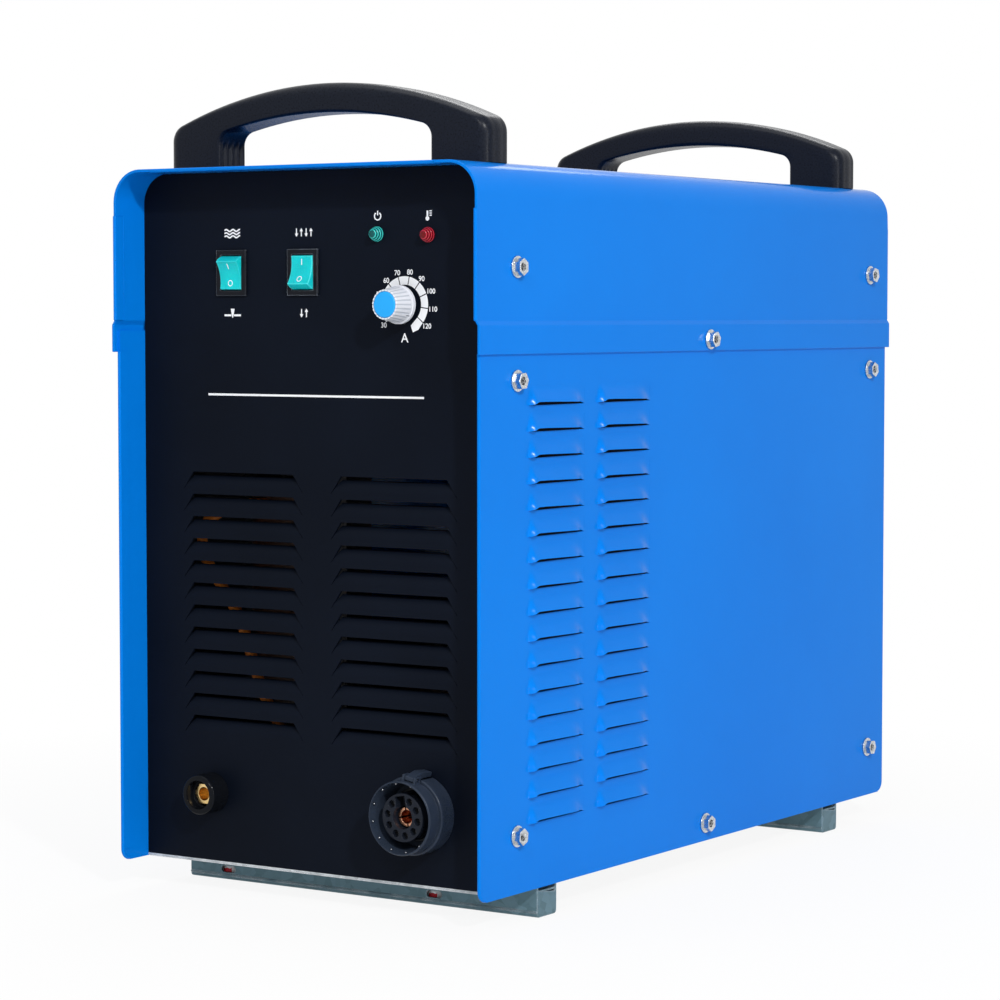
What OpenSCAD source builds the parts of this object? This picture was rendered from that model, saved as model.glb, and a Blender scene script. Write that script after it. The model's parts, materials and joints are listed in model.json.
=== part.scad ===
// Inverter plasma cutter power unit: a sheet-metal cabinet on two channel feet, with a top cover that
// laps over two louvred side panels, a recessed front panel with controls and sockets, two carrying
// handles, and the power parts inside. Millimetres, +Z up, front towards -Y, origin on the floor
// under the middle of the cabinet.

/* [Cabinet] */
// Width over the side panels
cabinet_w = 297; // [280:1:320]
// Length of the top cover, front edge to rear edge
cover_len = 584; // [560:1:620]
// Height of the top cover above the floor
cover_top_z = 494.4; // [480:0.1:510]
// Outside radius of the cover's two long bends
cover_bend_r = 22; // [14:1:30]
// Lower edge of the cover, where it laps over the side panels
lap_z = 371; // [365:1:376]
// Height at which the cover steps out over the side panels
joggle_z = 389.5; // [388:0.5:396]
// Thickness of every cabinet sheet
sheet_t = 2; // [1.5:0.5:2]
// Length of the side panels
side_len = 576; // [560:1:580]
// Width of the folded hems on the front and rear edges
hem_w = 9; // [7:1:12]
// Thickness of a hem, pressed flat
hem_t = 2.5; // [2.4:0.1:3]
// How far the front panel lies behind the cover's front edge
front_recess = 31.5; // [29:0.5:36]
// How far the rear panel lies inside the cover's rear edge
rear_recess = 17.5; // [17:0.5:24]

/* [Louvres] */
// Rows in each side panel column
side_rows = 17; // [8:1:18]
// Distance between side louvre rows
side_pitch = 17.06; // [15:0.01:17.5]
// Lower edge of the top side louvre's slot
side_lip_z = 337.7; // [330:0.1:340]
// Rows in each front panel column
front_rows = 12; // [6:1:12]
// Distance between front louvre rows
front_pitch = 15.2; // [14:0.1:15.4]
// Upper edge of the top front louvre's cut
front_lip_z = 289.4; // [280:0.1:295]

/* [Handles] */
// Length of a handle, outside to outside
handle_len = 262; // [250:1:266]
// Width of a handle, front to back
handle_w = 30; // [24:1:34]
// Height of a handle above the cover
handle_rise = 56; // [50:1:62]
// Width of the finger gap at the cover
finger_gap = 180; // [160:1:190]
// Height of the finger gap in the middle
finger_rise = 36; // [30:1:40]
// Middle of the front handle, measured along the cabinet
front_handle_y = -238; // [-245:1:-225]
// Middle of the rear handle
rear_handle_y = 257; // [245:1:262]

/* [Feet] */
// Height of the channel feet, floor to cabinet
foot_h = 21; // [20:0.5:24]
// Width of a channel foot
foot_w = 23.5; // [22:0.5:28]
// Length of a channel foot across the cabinet
foot_len = 290.8; // [280:0.2:294]
// Distance of each foot's middle from the middle of the cabinet
foot_y = 203; // [190:1:215]

/* [Controls] */
// Height of the two rocker switches
switch_z = 424.5; // [420:0.5:430]
// Angle of a rocker from its middle position
rocker_tilt = 14; // [10:1:15]
// Height of the dial's centre
dial_z = 402.9; // [398:0.1:408]
// Diameter of the knob at its base
knob_d = 25.2; // [24:0.2:28]
// Length of the knob
knob_len = 17.5; // [17:0.5:20]

/* [Sockets] */
// Height of the torch socket's axis
torch_z = 70.4; // [66:0.1:76]
// Outside diameter of the torch socket's rear collar
torch_collar_d = 52; // [50:1:56]
// How far the torch socket stands out of the panel
torch_out = 26; // [24:0.5:30]
// Height of the work lead socket's axis
work_z = 70; // [64:1:76]
// Outside diameter of the work lead socket
work_d = 27.5; // [26:0.5:30]

/* [Fan] */
// Diameter of the fan's air hole
fan_bore = 190; // [170:2:190]
// Height of the fan's axis
fan_z = 170; // [165:1:180]
// Number of fan blades
fan_blades = 5; // [4:1:7]

/* [Hidden] */
$fn = 64;
// Half width of the cabinet, and the planes of its sheets
half_w = cabinet_w / 2;
inner_x = half_w - sheet_t;
cover_y = cover_len / 2;
side_y = side_len / 2;
inner_top_z = cover_top_z - sheet_t;
hem_r = hem_t / 2;
front_y = -cover_y + front_recess;
rear_y = cover_y - rear_recess;
side_top_z = joggle_z - 4;
tray_top_z = foot_h + sheet_t;

// Flange turned back from the front and rear panels, and the bolts through it
flange_d = 30;
top_lip_d = 6;
flange_top_z = 466;
bolt_r = 3;
bolt_hole_r = 3.2;
bolt_af = 10;
bolt_flange_r = 7.1;
corner_bolt_in = 15.5;
front_bolt_y = front_y + corner_bolt_in;
rear_bolt_y = rear_y - corner_bolt_in;
cover_bolt_z = 427;
side_bolt_zs = [354, 59];
lap_bolt = [4, 379];
tray_bolt = [3, 34];

// Side louvres are drawn outwards: length, height, stand-out, taper at each end and height of the slot
side_louvre = [71.5, 13, 4.5, 5, 2.3];
side_columns = [-196.25, -110.5];
louvre_skin = 1.2;

// Front louvres are flaps cut free on three sides and bent inwards: length at the root, height of the cut,
// depth and height of the bent flap's tip, slant of each end
front_louvre = [101, 11.6, 4.2, 9.4, 8];
front_columns = [-62.3, 62.3];
cut_gap = 0.3;

// Places on the front panel, seen from the front
gas_switch_x = -69.8;
step_switch_x = -9.8;
bezel_w = 25;
bezel_h = 31;
bezel_t = 2;
switch_hole = [22.2, 28.2];
rocker_w = 17;
rocker_r = 11.5;
rocker_gap = 0.35;
pivot_depth = 3.2;
trunnion_r = 1.5;
power_lamp_at = [50.4, 449];
fault_lamp_at = [90.8, 448];
lamp_r = 5;
lamp_hole_r = 4.1;
dial_x = 71.8;
knob_stand = 5.4;
shaft_r = 3;
shaft_clear = 0.05;
bushing_r = 3.5;
torch_x = 84.5;
work_x = -89;

// Torch socket radii and depths, measured out of the panel
torch_sleeve_r = 24.5;
torch_hollow_r = 21.2;
torch_neck_r = 21.5;
insert_r = 16;
insert_recess = 4;
insert_tail = 14;
contact_tail = 24.5;
pin_circle_r = 11.9;
pin_way_r = 2.35;
pin_step = 36;
insert_turn = 9.5;
contact_r = 6.5;
contact_bore_r = 4.5;
latch_turn = -12;
latch_pin_at = [26.6, 19.5];
latch_pin_r = 1.1;
latch_w = 6.5;
latch_gap = 0.3;
latch_floor = 24;

// Places on the rear panel, seen from behind
breaker_at = [-70, 425];
gland_at = [80, 425];
gas_inlet_at = [-100, 330];
earth_at = [-118, 52];
fan_side = 200;
fan_depth = 60;
fan_screw = 92;

// Feet
foot_t = 1.5;
foot_web_z = 16.5;
foot_bolt_xs = [-112, 63];
foot_slot = [12.2, 4.6];
foot_slot_z = 7.6;
foot_bead_z = 3.6;

// Inside deck that parts the controls from the power parts
deck_z = 360;
deck_y = 200;
deck_flange_h = 32;

// Wound parts on the tray
choke_at = [-70, -176];
choke_yoke = 12;
choke_winding_d = 66;
transformer_at = [0, -75];
transformer_yoke = 22;

// The route of the gas hose from the valve to the torch socket
tube_sides = 10;
hose_r = 4;
valve_out_y = 190;
hose_route = [[100, 190, 330], [100, 170, 330], [104, 140, 326], [116, 112, 306], [124, 90, 270],
              [126, 70, 225], [127, 40, 170], [127, 0, 120], [126, -60, 90], [125, -110, 78],
              [122, -150, 72], [112, -180, 71], [98, -202, 71], [torch_x + 4, -216, torch_z],
              [torch_x, -228, torch_z], [torch_x, front_y + contact_tail, torch_z]];

// The route of the current lead from the choke to the torch socket, and the lug on its end
lead_r = 4;
lug_z = [-20.5, -17];
lug_y = front_y - (lug_z[0] + lug_z[1]) / 2;
lug_barrel = [10, 22];
lead_route = [[-83, choke_at[1] - choke_winding_d / 2, 266], [-84, -217, 266], [-89, -227, 265],
              [-99, -235, 262], [-109, -239, 255], [-114, -240, 244], [-112, -240, 231],
              [-104, -240, 219], [-94, -240, 207], [-84, -240, 194], [-76, -240, 178],
              [-70, -240, 160], [-61, -240, 138], [-47, -240, 116], [-24, -240.5, 96],
              [6, -241, 82], [36, -241.5, 74], [50, lug_y, torch_z + 0.5],
              [torch_x - lug_barrel[1], lug_y, torch_z]];

// Shared shapes

// A 2D outline in X and Z, drawn out along Y
module along_y(y0, y1) {
    translate([0, y1, 0]) rotate([90, 0, 0]) linear_extrude(y1 - y0) children();
}

// A 2D outline in Y and Z, drawn out along X
module along_x(x0, x1) {
    translate([x0, 0, 0]) rotate([90, 0, 90]) linear_extrude(x1 - x0) children();
}

// Local X to the right, Y up and Z out of the front panel
module on_front(x, z) {
    translate([x, front_y, z]) rotate([90, 0, 0]) children();
}

// Local X to the right seen from behind, Y up and Z out of the rear panel
module on_rear(at) {
    translate([-at[0], rear_y, at[1]]) rotate([90, 0, 180]) children();
}

module both_sides() {
    children();
    mirror([1, 0, 0]) children();
}

// A rectangle whose two upper corners are round
module round_top(half, z0, z1, r) {
    translate([-half, z0]) square([2 * half, z1 - r - z0]);
    translate([-half + r, z0]) square([2 * (half - r), z1 - z0]);
    for (side = [-1, 1]) translate([side * (half - r), z1 - r]) circle(r);
}

// A rectangle whose two lower corners are round
module round_bottom(half, z0, z1, r) {
    translate([0, z0 + z1]) mirror([0, 1]) round_top(half, z0, z1, r);
}

// A slot with round ends, cut along Z
module slot(length, width, depth) {
    cube([length - width, width, depth], center = true);
    for (side = [-1, 1]) translate([side * (length - width) / 2, 0, 0])
        cylinder(r = width / 2, h = depth, center = true);
}

module hexagon(af, h) {
    cylinder(r = af / 2 / cos(30), h = h, $fn = 6);
}

module tube(r_out, r_in, z0, z1) {
    difference() {
        translate([0, 0, z0]) cylinder(r = r_out, h = z1 - z0);
        translate([0, 0, z0 - 1]) cylinder(r = r_in, h = z1 - z0 + 2);
    }
}

// A louvre drawn out of its sheet: X along it, Y out of the sheet, and Z from its lip up to its root. Its
// skin curves out from the root, and its two ends slope back to the sheet.
module louvre_form(length, h, out, taper, radius, depth) {
    intersection() {
        rotate([90, 0, 90]) linear_extrude(length, center = true) intersection() {
            translate([out - radius, 0]) circle(radius);
            translate([-depth, 0]) square([out + depth, h]);
        }
        linear_extrude(h) polygon([
            [-length / 2, -depth], [length / 2, -depth], [length / 2, 0],
            [length / 2 - taper, out], [taper - length / 2, out], [-length / 2, 0]]);
    }
}

function louvre_radius(size) = (size[2] * size[2] + size[1] * size[1]) / (2 * size[2]);

module louvre_skin_form(size) {
    louvre_form(size[0], size[1], size[2], size[3], louvre_radius(size), 0.5);
}

// The hollow under the skin, open through the sheet, and the slot whose ends run up to the raised lip
module louvre_void_form(size) {
    louvre_form(size[0] - 2.6 * louvre_skin, size[1], size[2] - louvre_skin, size[3],
                louvre_radius(size) - louvre_skin, sheet_t + 1);
    along_y(-sheet_t - 1, size[2] + 1) polygon([
        [-size[0] / 2, 0], [size[0] / 2, 0], [size[0] / 2 - size[3], size[4]],
        [size[3] - size[0] / 2, size[4]]]);
}

// An outline in X and Z that narrows from a louvre's root, at height h, to its free edge
module flap_outline(size, rise, inset) {
    root = size[0] / 2 - inset;
    tip = root - size[4] * rise / size[1];
    polygon([[-root, size[1]], [root, size[1]], [tip, size[1] - rise], [-tip, size[1] - rise]]);
}

// The three-sided cut of a front louvre, in the same axes
module flap_cut(size) {
    along_y(-sheet_t - 1, 1) flap_outline(size, size[1], 0);
}

// Its flap, which curves inwards from the root, and runs a little way into the sheet there
module flap_form(size) {
    radius = (size[2] * size[2] + size[3] * size[3]) / (2 * size[2]);
    sweep = asin(size[3] / radius);
    reach = 2 * radius;
    root = size[0] / 2 - cut_gap;
    root_lap = 0.5;
    intersection() {
        rotate([90, 0, 90]) linear_extrude(size[0], center = true) translate([-radius, size[1]]) {
            intersection() {
                difference() {
                    circle(radius);
                    circle(radius - sheet_t);
                }
                polygon([[0, 0], [reach, 0], [reach, -reach * tan(sweep / 2)],
                         [reach * cos(sweep), -reach * sin(sweep)]]);
            }
            translate([radius - sheet_t, 0]) square([sheet_t, root_lap]);
        }
        along_y(-radius, 1) {
            flap_outline(size, size[1], cut_gap);
            translate([-root, size[1]]) square([2 * root, root_lap]);
        }
    }
}

// A hem: the sheet's edge folded back and pressed flat. X along the fold, Y out of the edge, Z outwards.
module hem(length) {
    rotate([0, 90, 0]) cylinder(r = hem_r, h = length, center = true);
    translate([-length / 2, hem_r - hem_w, -hem_r]) cube([length, hem_w - hem_r, hem_t - sheet_t]);
}

module bolt_holes(points) {
    for (p = points) translate([0, p[0], p[1]]) rotate([0, 90, 0])
        cylinder(r = bolt_hole_r, h = 4 * half_w, center = true);
}

// Where the side bolts sit: along the cabinet, height, and how far the head stands off the side panel
side_bolts = concat(
    [for (y = [front_bolt_y, rear_bolt_y]) [y, cover_bolt_z, 0]],
    [for (y = [front_bolt_y, rear_bolt_y], z = side_bolt_zs) [y, z, 0]],
    [[lap_bolt[0], lap_bolt[1], sheet_t], [tray_bolt[0], tray_bolt[1], 0]]);

// Cabinet

module base_tray() color("#b9bfc0") difference() {
    union() {
        translate([-inner_x, front_y, foot_h]) cube([2 * inner_x, rear_y - front_y, sheet_t]);
        both_sides() translate([inner_x - sheet_t, front_y + flange_d + 2, tray_top_z])
            cube([sheet_t, rear_y - front_y - 2 * flange_d - 4, 26]);
    }
    bolt_holes([tray_bolt]);
    for (y = [-foot_y, foot_y], x = foot_bolt_xs) translate([x, y, foot_h - 1])
        cylinder(r = bolt_hole_r, h = sheet_t + 2);
}

// A box channel with two upstands that carry the tray, and a tab folded across each end
module channel_foot(y) {
    translate([0, y, 0]) difference() {
        union() {
            along_x(-foot_len / 2, foot_len / 2) difference() {
                round_bottom(foot_w / 2, 0, foot_h, 2.5);
                translate([-foot_w / 2 + foot_t, foot_t])
                    square([foot_w - 2 * foot_t, foot_web_z - foot_t]);
                translate([-foot_w / 2 + foot_t, foot_web_z + foot_t])
                    square([foot_w - 2 * foot_t, foot_h]);
            }
            translate([-foot_len / 2, -foot_w / 2, foot_bead_z]) rotate([0, 90, 0])
                cylinder(r = 0.6, h = foot_len);
            both_sides() along_x(foot_len / 2 - foot_t, foot_len / 2) polygon([
                [-foot_w / 2 + 1, 1], [foot_w / 2 - 1, 1], [foot_w / 2 - 1, foot_web_z - 1.3],
                [-foot_w / 2 + 1, foot_web_z + 1]]);
        }
        for (x = foot_bolt_xs) {
            translate([x, -foot_w / 2, foot_slot_z]) rotate([90, 0, 0])
                slot(foot_slot[0], foot_slot[1], 4 * foot_t);
            translate([x, 0, foot_web_z - 1]) cylinder(r = bolt_hole_r, h = foot_t + 2);
        }
    }
}

module front_foot() color("#9aa5a2") channel_foot(-foot_y);
module rear_foot() color("#9aa5a2") channel_foot(foot_y);

// Bolts with their heads on the tray, and a washer and a nut under each foot's web
module foot_bolts() color("#d5d7d8") {
    nut_h = 4.5;
    washer_h = 2;
    shank_end_z = 4.5;
    for (y = [-foot_y, foot_y], x = foot_bolt_xs) translate([x, y, 0]) {
        translate([0, 0, tray_top_z]) hexagon(bolt_af, 5);
        translate([0, 0, shank_end_z]) cylinder(r = bolt_r, h = tray_top_z - shank_end_z + 1);
        difference() {
            union() {
                translate([0, 0, foot_web_z - washer_h]) cylinder(r = bolt_flange_r, h = washer_h);
                translate([0, 0, foot_web_z - washer_h - nut_h]) hexagon(bolt_af, nut_h + 0.5);
            }
            translate([0, 0, shank_end_z]) cylinder(r = bolt_r + shaft_clear, h = 20);
        }
    }
}

// Front and rear panels are pans: a face with its edges turned back
module panel_pan() {
    along_y(0, sheet_t) round_top(inner_x, tray_top_z, inner_top_z, cover_bend_r - sheet_t + 0.5);
    both_sides() translate([inner_x - sheet_t, 0, tray_top_z])
        cube([sheet_t, flange_d, flange_top_z - tray_top_z]);
    translate([-inner_x, 0, tray_top_z]) cube([2 * inner_x, flange_d - 8, sheet_t]);
    translate([-inner_x + cover_bend_r, 0, inner_top_z - sheet_t])
        cube([2 * (inner_x - cover_bend_r), top_lip_d, sheet_t]);
}

module front_panel() color("#17181b") difference() {
    union() {
        difference() {
            translate([0, front_y, 0]) panel_pan();
            front_louvres() flap_cut(front_louvre);
        }
        front_louvres() flap_form(front_louvre);
    }
    bolt_holes([for (z = concat([cover_bolt_z], side_bolt_zs)) [front_bolt_y, z]]);
    for (x = [gas_switch_x, step_switch_x]) on_front(x, switch_z)
        cube([switch_hole[0], switch_hole[1], 4 * sheet_t], center = true);
    for (at = [power_lamp_at, fault_lamp_at]) panel_hole(at[0], at[1], lamp_hole_r);
    panel_hole(dial_x, dial_z, bushing_r + 0.1);
    panel_hole(torch_x, torch_z, torch_neck_r + 0.3);
    panel_hole(work_x, work_z, 11);
}

module panel_hole(x, z, r) {
    on_front(x, z) cylinder(r = r, h = 4 * sheet_t, center = true);
}

module front_louvres() {
    for (x = front_columns, row = [0 : front_rows - 1])
        translate([x, front_y, front_lip_z - row * front_pitch]) rotate([180, 0, 0]) children();
}

module rear_panel() color("#17181b") difference() {
    translate([0, rear_y, 0]) mirror([0, 1, 0]) panel_pan();
    bolt_holes([for (z = concat([cover_bolt_z], side_bolt_zs)) [rear_bolt_y, z]]);
    on_rear([0, fan_z]) cylinder(r = fan_bore / 2, h = 4 * sheet_t, center = true);
    for (x = [-fan_screw, fan_screw], z = [-fan_screw, fan_screw])
        on_rear([x, fan_z + z]) cylinder(r = 2.2, h = 4 * sheet_t, center = true);
    on_rear(breaker_at) cube([55, 47, 4 * sheet_t], center = true);
    on_rear(gland_at) cylinder(r = 12.5, h = 4 * sheet_t, center = true);
    on_rear(gas_inlet_at) cylinder(r = 8.2, h = 4 * sheet_t, center = true);
    on_rear(earth_at) cylinder(r = 4.2, h = 4 * sheet_t, center = true);
}

// The cover is one bent sheet: its lower strips step out over the side panels, and the straight runs
// of its end edges are hemmed, with the bends between them left plain
module top_cover() color("#1f86e0") difference() {
    sheet_y = cover_y - hem_r;
    top_run = 2 * (half_w - cover_bend_r - 11);
    step_h = 3;
    side_run = [joggle_z + step_h, cover_top_z - cover_bend_r - 9];
    union() {
        along_y(-sheet_y, sheet_y) {
            difference() {
                round_top(half_w, joggle_z + step_h, cover_top_z, cover_bend_r);
                round_top(inner_x, joggle_z, inner_top_z, cover_bend_r - sheet_t);
            }
            for (side = [-1, 1]) polygon([
                [side * inner_x, joggle_z + step_h], [side * inner_x, joggle_z + step_h + 1],
                [side * half_w, joggle_z + step_h + 1], [side * half_w, joggle_z + step_h],
                [side * (half_w + sheet_t), joggle_z], [side * (half_w + sheet_t), lap_z],
                [side * half_w, lap_z], [side * half_w, joggle_z]]);
        }
        for (end = [0, 1]) mirror([0, end, 0]) {
            translate([0, -sheet_y, cover_top_z - hem_r]) mirror([0, 1, 0]) hem(top_run);
            both_sides() translate([half_w - hem_r, -sheet_y, (side_run[0] + side_run[1]) / 2])
                rotate([0, 90, 0]) mirror([0, 1, 0]) hem(side_run[1] - side_run[0]);
        }
    }
    bolt_holes([for (b = side_bolts) if (b[1] > lap_z) b]);
    for (p = handle_screw_places()) translate([p[0], p[1], inner_top_z - 1])
        cylinder(r = bolt_hole_r, h = sheet_t + 2);
}

// A flat sheet with two columns of louvres in its front half, and a hem on each end edge that runs round the
// lower corner
module right_side_panel() color("#1f86e0") difference() {
    corner_r = 8;
    corner_y = side_y - corner_r;
    sheet_y = side_y - hem_r;
    hem_z = [foot_h + corner_r, side_top_z - 14];
    union() {
        along_x(inner_x, half_w) {
            translate([-sheet_y, hem_z[0]]) square([2 * sheet_y, side_top_z - hem_z[0]]);
            translate([-corner_y, foot_h]) square([2 * corner_y, corner_r]);
            for (end = [-1, 1]) translate([end * corner_y, hem_z[0]]) circle(corner_r - hem_r);
        }
        for (end = [0, 1]) mirror([0, end, 0]) {
            translate([half_w - hem_r, -sheet_y, (hem_z[0] + hem_z[1]) / 2])
                rotate([0, 90, 0]) mirror([0, 1, 0]) hem(hem_z[1] - hem_z[0]);
            translate([half_w - hem_r, -corner_y, hem_z[0]]) intersection() {
                rotate([0, 90, 0]) rotate_extrude() translate([corner_r - hem_r, 0]) circle(hem_r);
                translate([-hem_t, -2 * corner_r, -2 * corner_r])
                    cube([2 * hem_t, 2 * corner_r, 2 * corner_r]);
            }
        }
        side_louvres() louvre_skin_form(side_louvre);
    }
    side_louvres() louvre_void_form(side_louvre);
    bolt_holes([for (b = side_bolts) if (b[1] < joggle_z) b]);
}

module left_side_panel() mirror([1, 0, 0]) right_side_panel();

module side_louvres() {
    for (y = side_columns, row = [0 : side_rows - 1])
        translate([half_w, y, side_lip_z - row * side_pitch]) rotate([0, 0, -90]) children();
}

// Zinc flange bolts with a dished head and a cross recess, turned a little from bolt to bolt
module cover_bolts() color("#d5d7d8") both_sides() for (i = [0 : len(side_bolts) - 1]) {
    b = side_bolts[i];
    flange_t = 1.4;
    head_h = 6;
    dish = 0.7;
    translate([half_w + b[2], b[0], b[1]]) rotate([0, 90, 0]) {
        cylinder(r = bolt_flange_r, h = flange_t);
        rotate([0, 0, 17 * i]) difference() {
            hexagon(bolt_af, head_h);
            translate([0, 0, head_h - dish]) cylinder(r1 = 2.8, r2 = 4.2, h = 1.001 * dish, $fn = 24);
            for (a = [0, 90]) rotate([0, 0, a]) translate([-2.6, -0.55, head_h - 2.6]) cube([5.2, 1.1, 3]);
        }
        translate([0, 0, -14 - b[2]]) cylinder(r = bolt_r, h = 14 + b[2] + flange_t);
    }
}

module cover_nuts() color("#c9cccd") both_sides() for (b = side_bolts)
    translate([inner_x - sheet_t, b[0], b[1]]) rotate([0, -90, 0]) difference() {
        hexagon(bolt_af, 5);
        translate([0, 0, -1]) cylinder(r = bolt_r + shaft_clear, h = 7);
    }

// Handles

// An arch in X and Z: straight legs, a fillet at each shoulder and a long crown arc
function arch(half, rise, crown_r, fillet_r) =
    let (leg_n = 2, fillet_n = 4, crown_n = 12,
         centre_z = rise - crown_r,
         fillet_x = half - fillet_r,
         fillet_z = centre_z + sqrt(pow(crown_r - fillet_r, 2) - fillet_x * fillet_x),
         tilt = atan2(fillet_x, fillet_z - centre_z),
         left = concat(
             [for (i = [0 : leg_n - 1]) [-half, fillet_z * i / leg_n]],
             [for (i = [0 : fillet_n - 1]) let (a = 180 - (90 - tilt) * i / fillet_n)
                 [-fillet_x + fillet_r * cos(a), fillet_z + fillet_r * sin(a)]]),
         crown = [for (i = [0 : crown_n]) let (a = 90 + tilt - 2 * tilt * i / crown_n)
             [crown_r * cos(a), centre_z + crown_r * sin(a)]])
    concat(left, crown, [for (i = [len(left) - 1 : -1 : 0]) [-left[i][0], left[i][1]]]);

// One ring of a handle: a rectangle with round corners between an inner and an outer point
function handle_ring(inner, outer, corner_r) =
    let (steps = 4,
         along = outer - inner,
         half_t = norm(along) / 2,
         u = along / norm(along),
         mid = (outer + inner) / 2)
    [for (c = [0 : 3], i = [0 : steps])
        let (a = 90 * c + 90 * i / steps,
             b = 90 * c + 45,
             t = sign(cos(b)) * (half_t - corner_r) + corner_r * cos(a),
             y = sign(sin(b)) * (handle_w / 2 - corner_r) + corner_r * sin(a),
             p = mid + u * t)
        [p[0], y, p[1]]];

// A closed solid through rings of equal count
module loft(rings) {
    n = len(rings[0]);
    last = len(rings) - 1;
    polyhedron(
        points = [for (ring = rings, p = ring) p],
        faces = concat(
            [[for (j = [n - 1 : -1 : 0]) j]],
            [for (i = [0 : last - 1], j = [0 : n - 1])
                let (here = i * n, next = (i + 1) * n, k = (j + 1) % n)
                each [[here + j, here + k, next + k], [here + j, next + k, next + j]]],
            [[for (j = [0 : n - 1]) last * n + j]]));
}

handle_leg_x = (handle_len / 2 + finger_gap / 2) / 2;
handle_screw_half = 6;
function handle_screw_places() =
    [for (y = [front_handle_y, rear_handle_y], x = [-handle_leg_x, handle_leg_x],
          dy = [-handle_screw_half, handle_screw_half]) [x, y + dy]];

module carry_handle(y) {
    outer = arch(handle_len / 2, handle_rise, 319, 12);
    inner = arch(finger_gap / 2, finger_rise, 340, 10);
    rib_gap = 5.5;
    translate([0, y, cover_top_z]) difference() {
        loft([for (i = [0 : len(outer) - 1]) handle_ring(inner[i], outer[i], 7)]);
        both_sides() for (i = [-1 : 1]) translate([finger_gap / 2 - 1, i * rib_gap - 0.8, -1])
            cube([2.2, 1.6, 16]);
        both_sides() for (dy = [-handle_screw_half, handle_screw_half])
            translate([handle_leg_x, dy, -1]) cylinder(r = bolt_hole_r, h = 15);
    }
}

module front_handle() color("#1b1c1f") carry_handle(front_handle_y);
module rear_handle() color("#1b1c1f") carry_handle(rear_handle_y);

module handle_screws() color("#c9cccd") for (p = handle_screw_places())
    translate([p[0], p[1], inner_top_z]) {
        translate([0, 0, -4]) cylinder(r = 5.2, h = 4);
        translate([0, 0, -4]) cylinder(r = bolt_r, h = 4 + sheet_t + 12);
    }

// Rocker switches

// The housing: a bezel on the panel, a box behind it, and a bearing hole in each side wall
module switch_body(x) on_front(x, switch_z) difference() {
    depth = 21;
    union() {
        translate([-bezel_w / 2, -bezel_h / 2, 0]) cube([bezel_w, bezel_h, bezel_t]);
        translate([-11, -14, -depth]) cube([22, 28, depth]);
        for (y = [-8, 0, 8]) translate([-3.15, y - 0.4, -depth - 8]) cube([6.3, 0.8, 9]);
    }
    cavity = [rocker_w + 2 * rocker_gap, 2 * (rocker_r + rocker_gap)];
    translate([-cavity[0] / 2, -cavity[1] / 2, -9]) cube([cavity[0], cavity[1], 20]);
    translate([0, 0, bezel_t - pivot_depth]) rotate([0, 90, 0])
        cylinder(r = trunnion_r + shaft_clear, h = rocker_w + 4, center = true);
}

// The rocker: a hollow-ground front face, ends that follow the turning circle, and two trunnions
module switch_rocker(x, tilt) on_front(x, switch_z) {
    valley = 4.4;
    grind_r = 22.6;
    translate([0, 0, bezel_t - pivot_depth]) rotate([tilt, 0, 0]) {
        rotate([90, 0, 90]) linear_extrude(rocker_w, center = true) difference() {
            intersection() {
                circle(rocker_r);
                polygon([[-13, -1], [-5, -5], [5, -5], [13, -1], [13, 13], [-13, 13]]);
            }
            translate([0, valley + grind_r]) circle(grind_r);
        }
        rotate([0, 90, 0]) cylinder(r = trunnion_r, h = rocker_w + 3, center = true);
    }
}

module gas_switch_body() color("#101113") switch_body(gas_switch_x);
module step_switch_body() color("#101113") switch_body(step_switch_x);
module gas_switch_rocker() color("#19c4b4") switch_rocker(gas_switch_x, rocker_tilt);
module step_switch_rocker() color("#19c4b4") switch_rocker(step_switch_x, -rocker_tilt);

// Lamps: a ribbed lens whose shank goes through the panel, held by a ring behind it

module lamp_lens(at) on_front(at[0], at[1]) rotate_extrude() polygon([
    [0, -12], [lamp_r - 1.1, -12], [lamp_r - 1.1, 0], [lamp_r, 0], [lamp_r, 1.2], [lamp_r - 0.5, 1.5],
    [lamp_r - 0.5, 2.3], [lamp_r - 1.2, 2.6], [lamp_r - 1.2, 3.4], [lamp_r - 2, 3.7],
    [lamp_r - 2, 4.4], [lamp_r - 3.2, 4.9], [0, 5.1]]);

module power_lamp() color("#0b8f6a") lamp_lens(power_lamp_at);
module fault_lamp() color("#b5121f") lamp_lens(fault_lamp_at);
module lamp_holders() color("#2a2b2e") for (at = [power_lamp_at, fault_lamp_at])
    on_front(at[0], at[1]) tube(6.8, lamp_r - 1.05, -sheet_t - 5, -sheet_t);

// Current control

module current_knob() color("#eef0f4") on_front(dial_x, dial_z) {
    skirt = 2.8;
    tip_d = 19.4;
    flutes = 24;
    body_len = knob_len - skirt;
    lean = atan2((knob_d - 1 - tip_d) / 2, body_len);
    translate([0, 0, knob_stand]) difference() {
        union() {
            cylinder(r = knob_d / 2, h = skirt);
            translate([0, 0, skirt]) cylinder(r1 = knob_d / 2 - 0.5, r2 = tip_d / 2, h = body_len);
        }
        for (i = [0 : flutes - 1]) rotate([0, 0, i * 360 / flutes])
            translate([knob_d / 2 - 0.2, 0, skirt + 0.8]) rotate([0, -lean, 0])
                cylinder(r = 0.7, h = knob_len);
        translate([0, 0, knob_len - 1.6]) cylinder(r = 8.7, h = 5);
        translate([0, 0, -1]) cylinder(r = shaft_r + shaft_clear, h = 15);
    }
}

module knob_cap() color("#2aa4f4") on_front(dial_x, dial_z) translate([0, 0, knob_stand + knob_len - 1.6])
    rotate_extrude() polygon([[0, 0], [8.5, 0], [8.5, 1.6], [7.9, 2.2], [0, 2.4]]);

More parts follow.
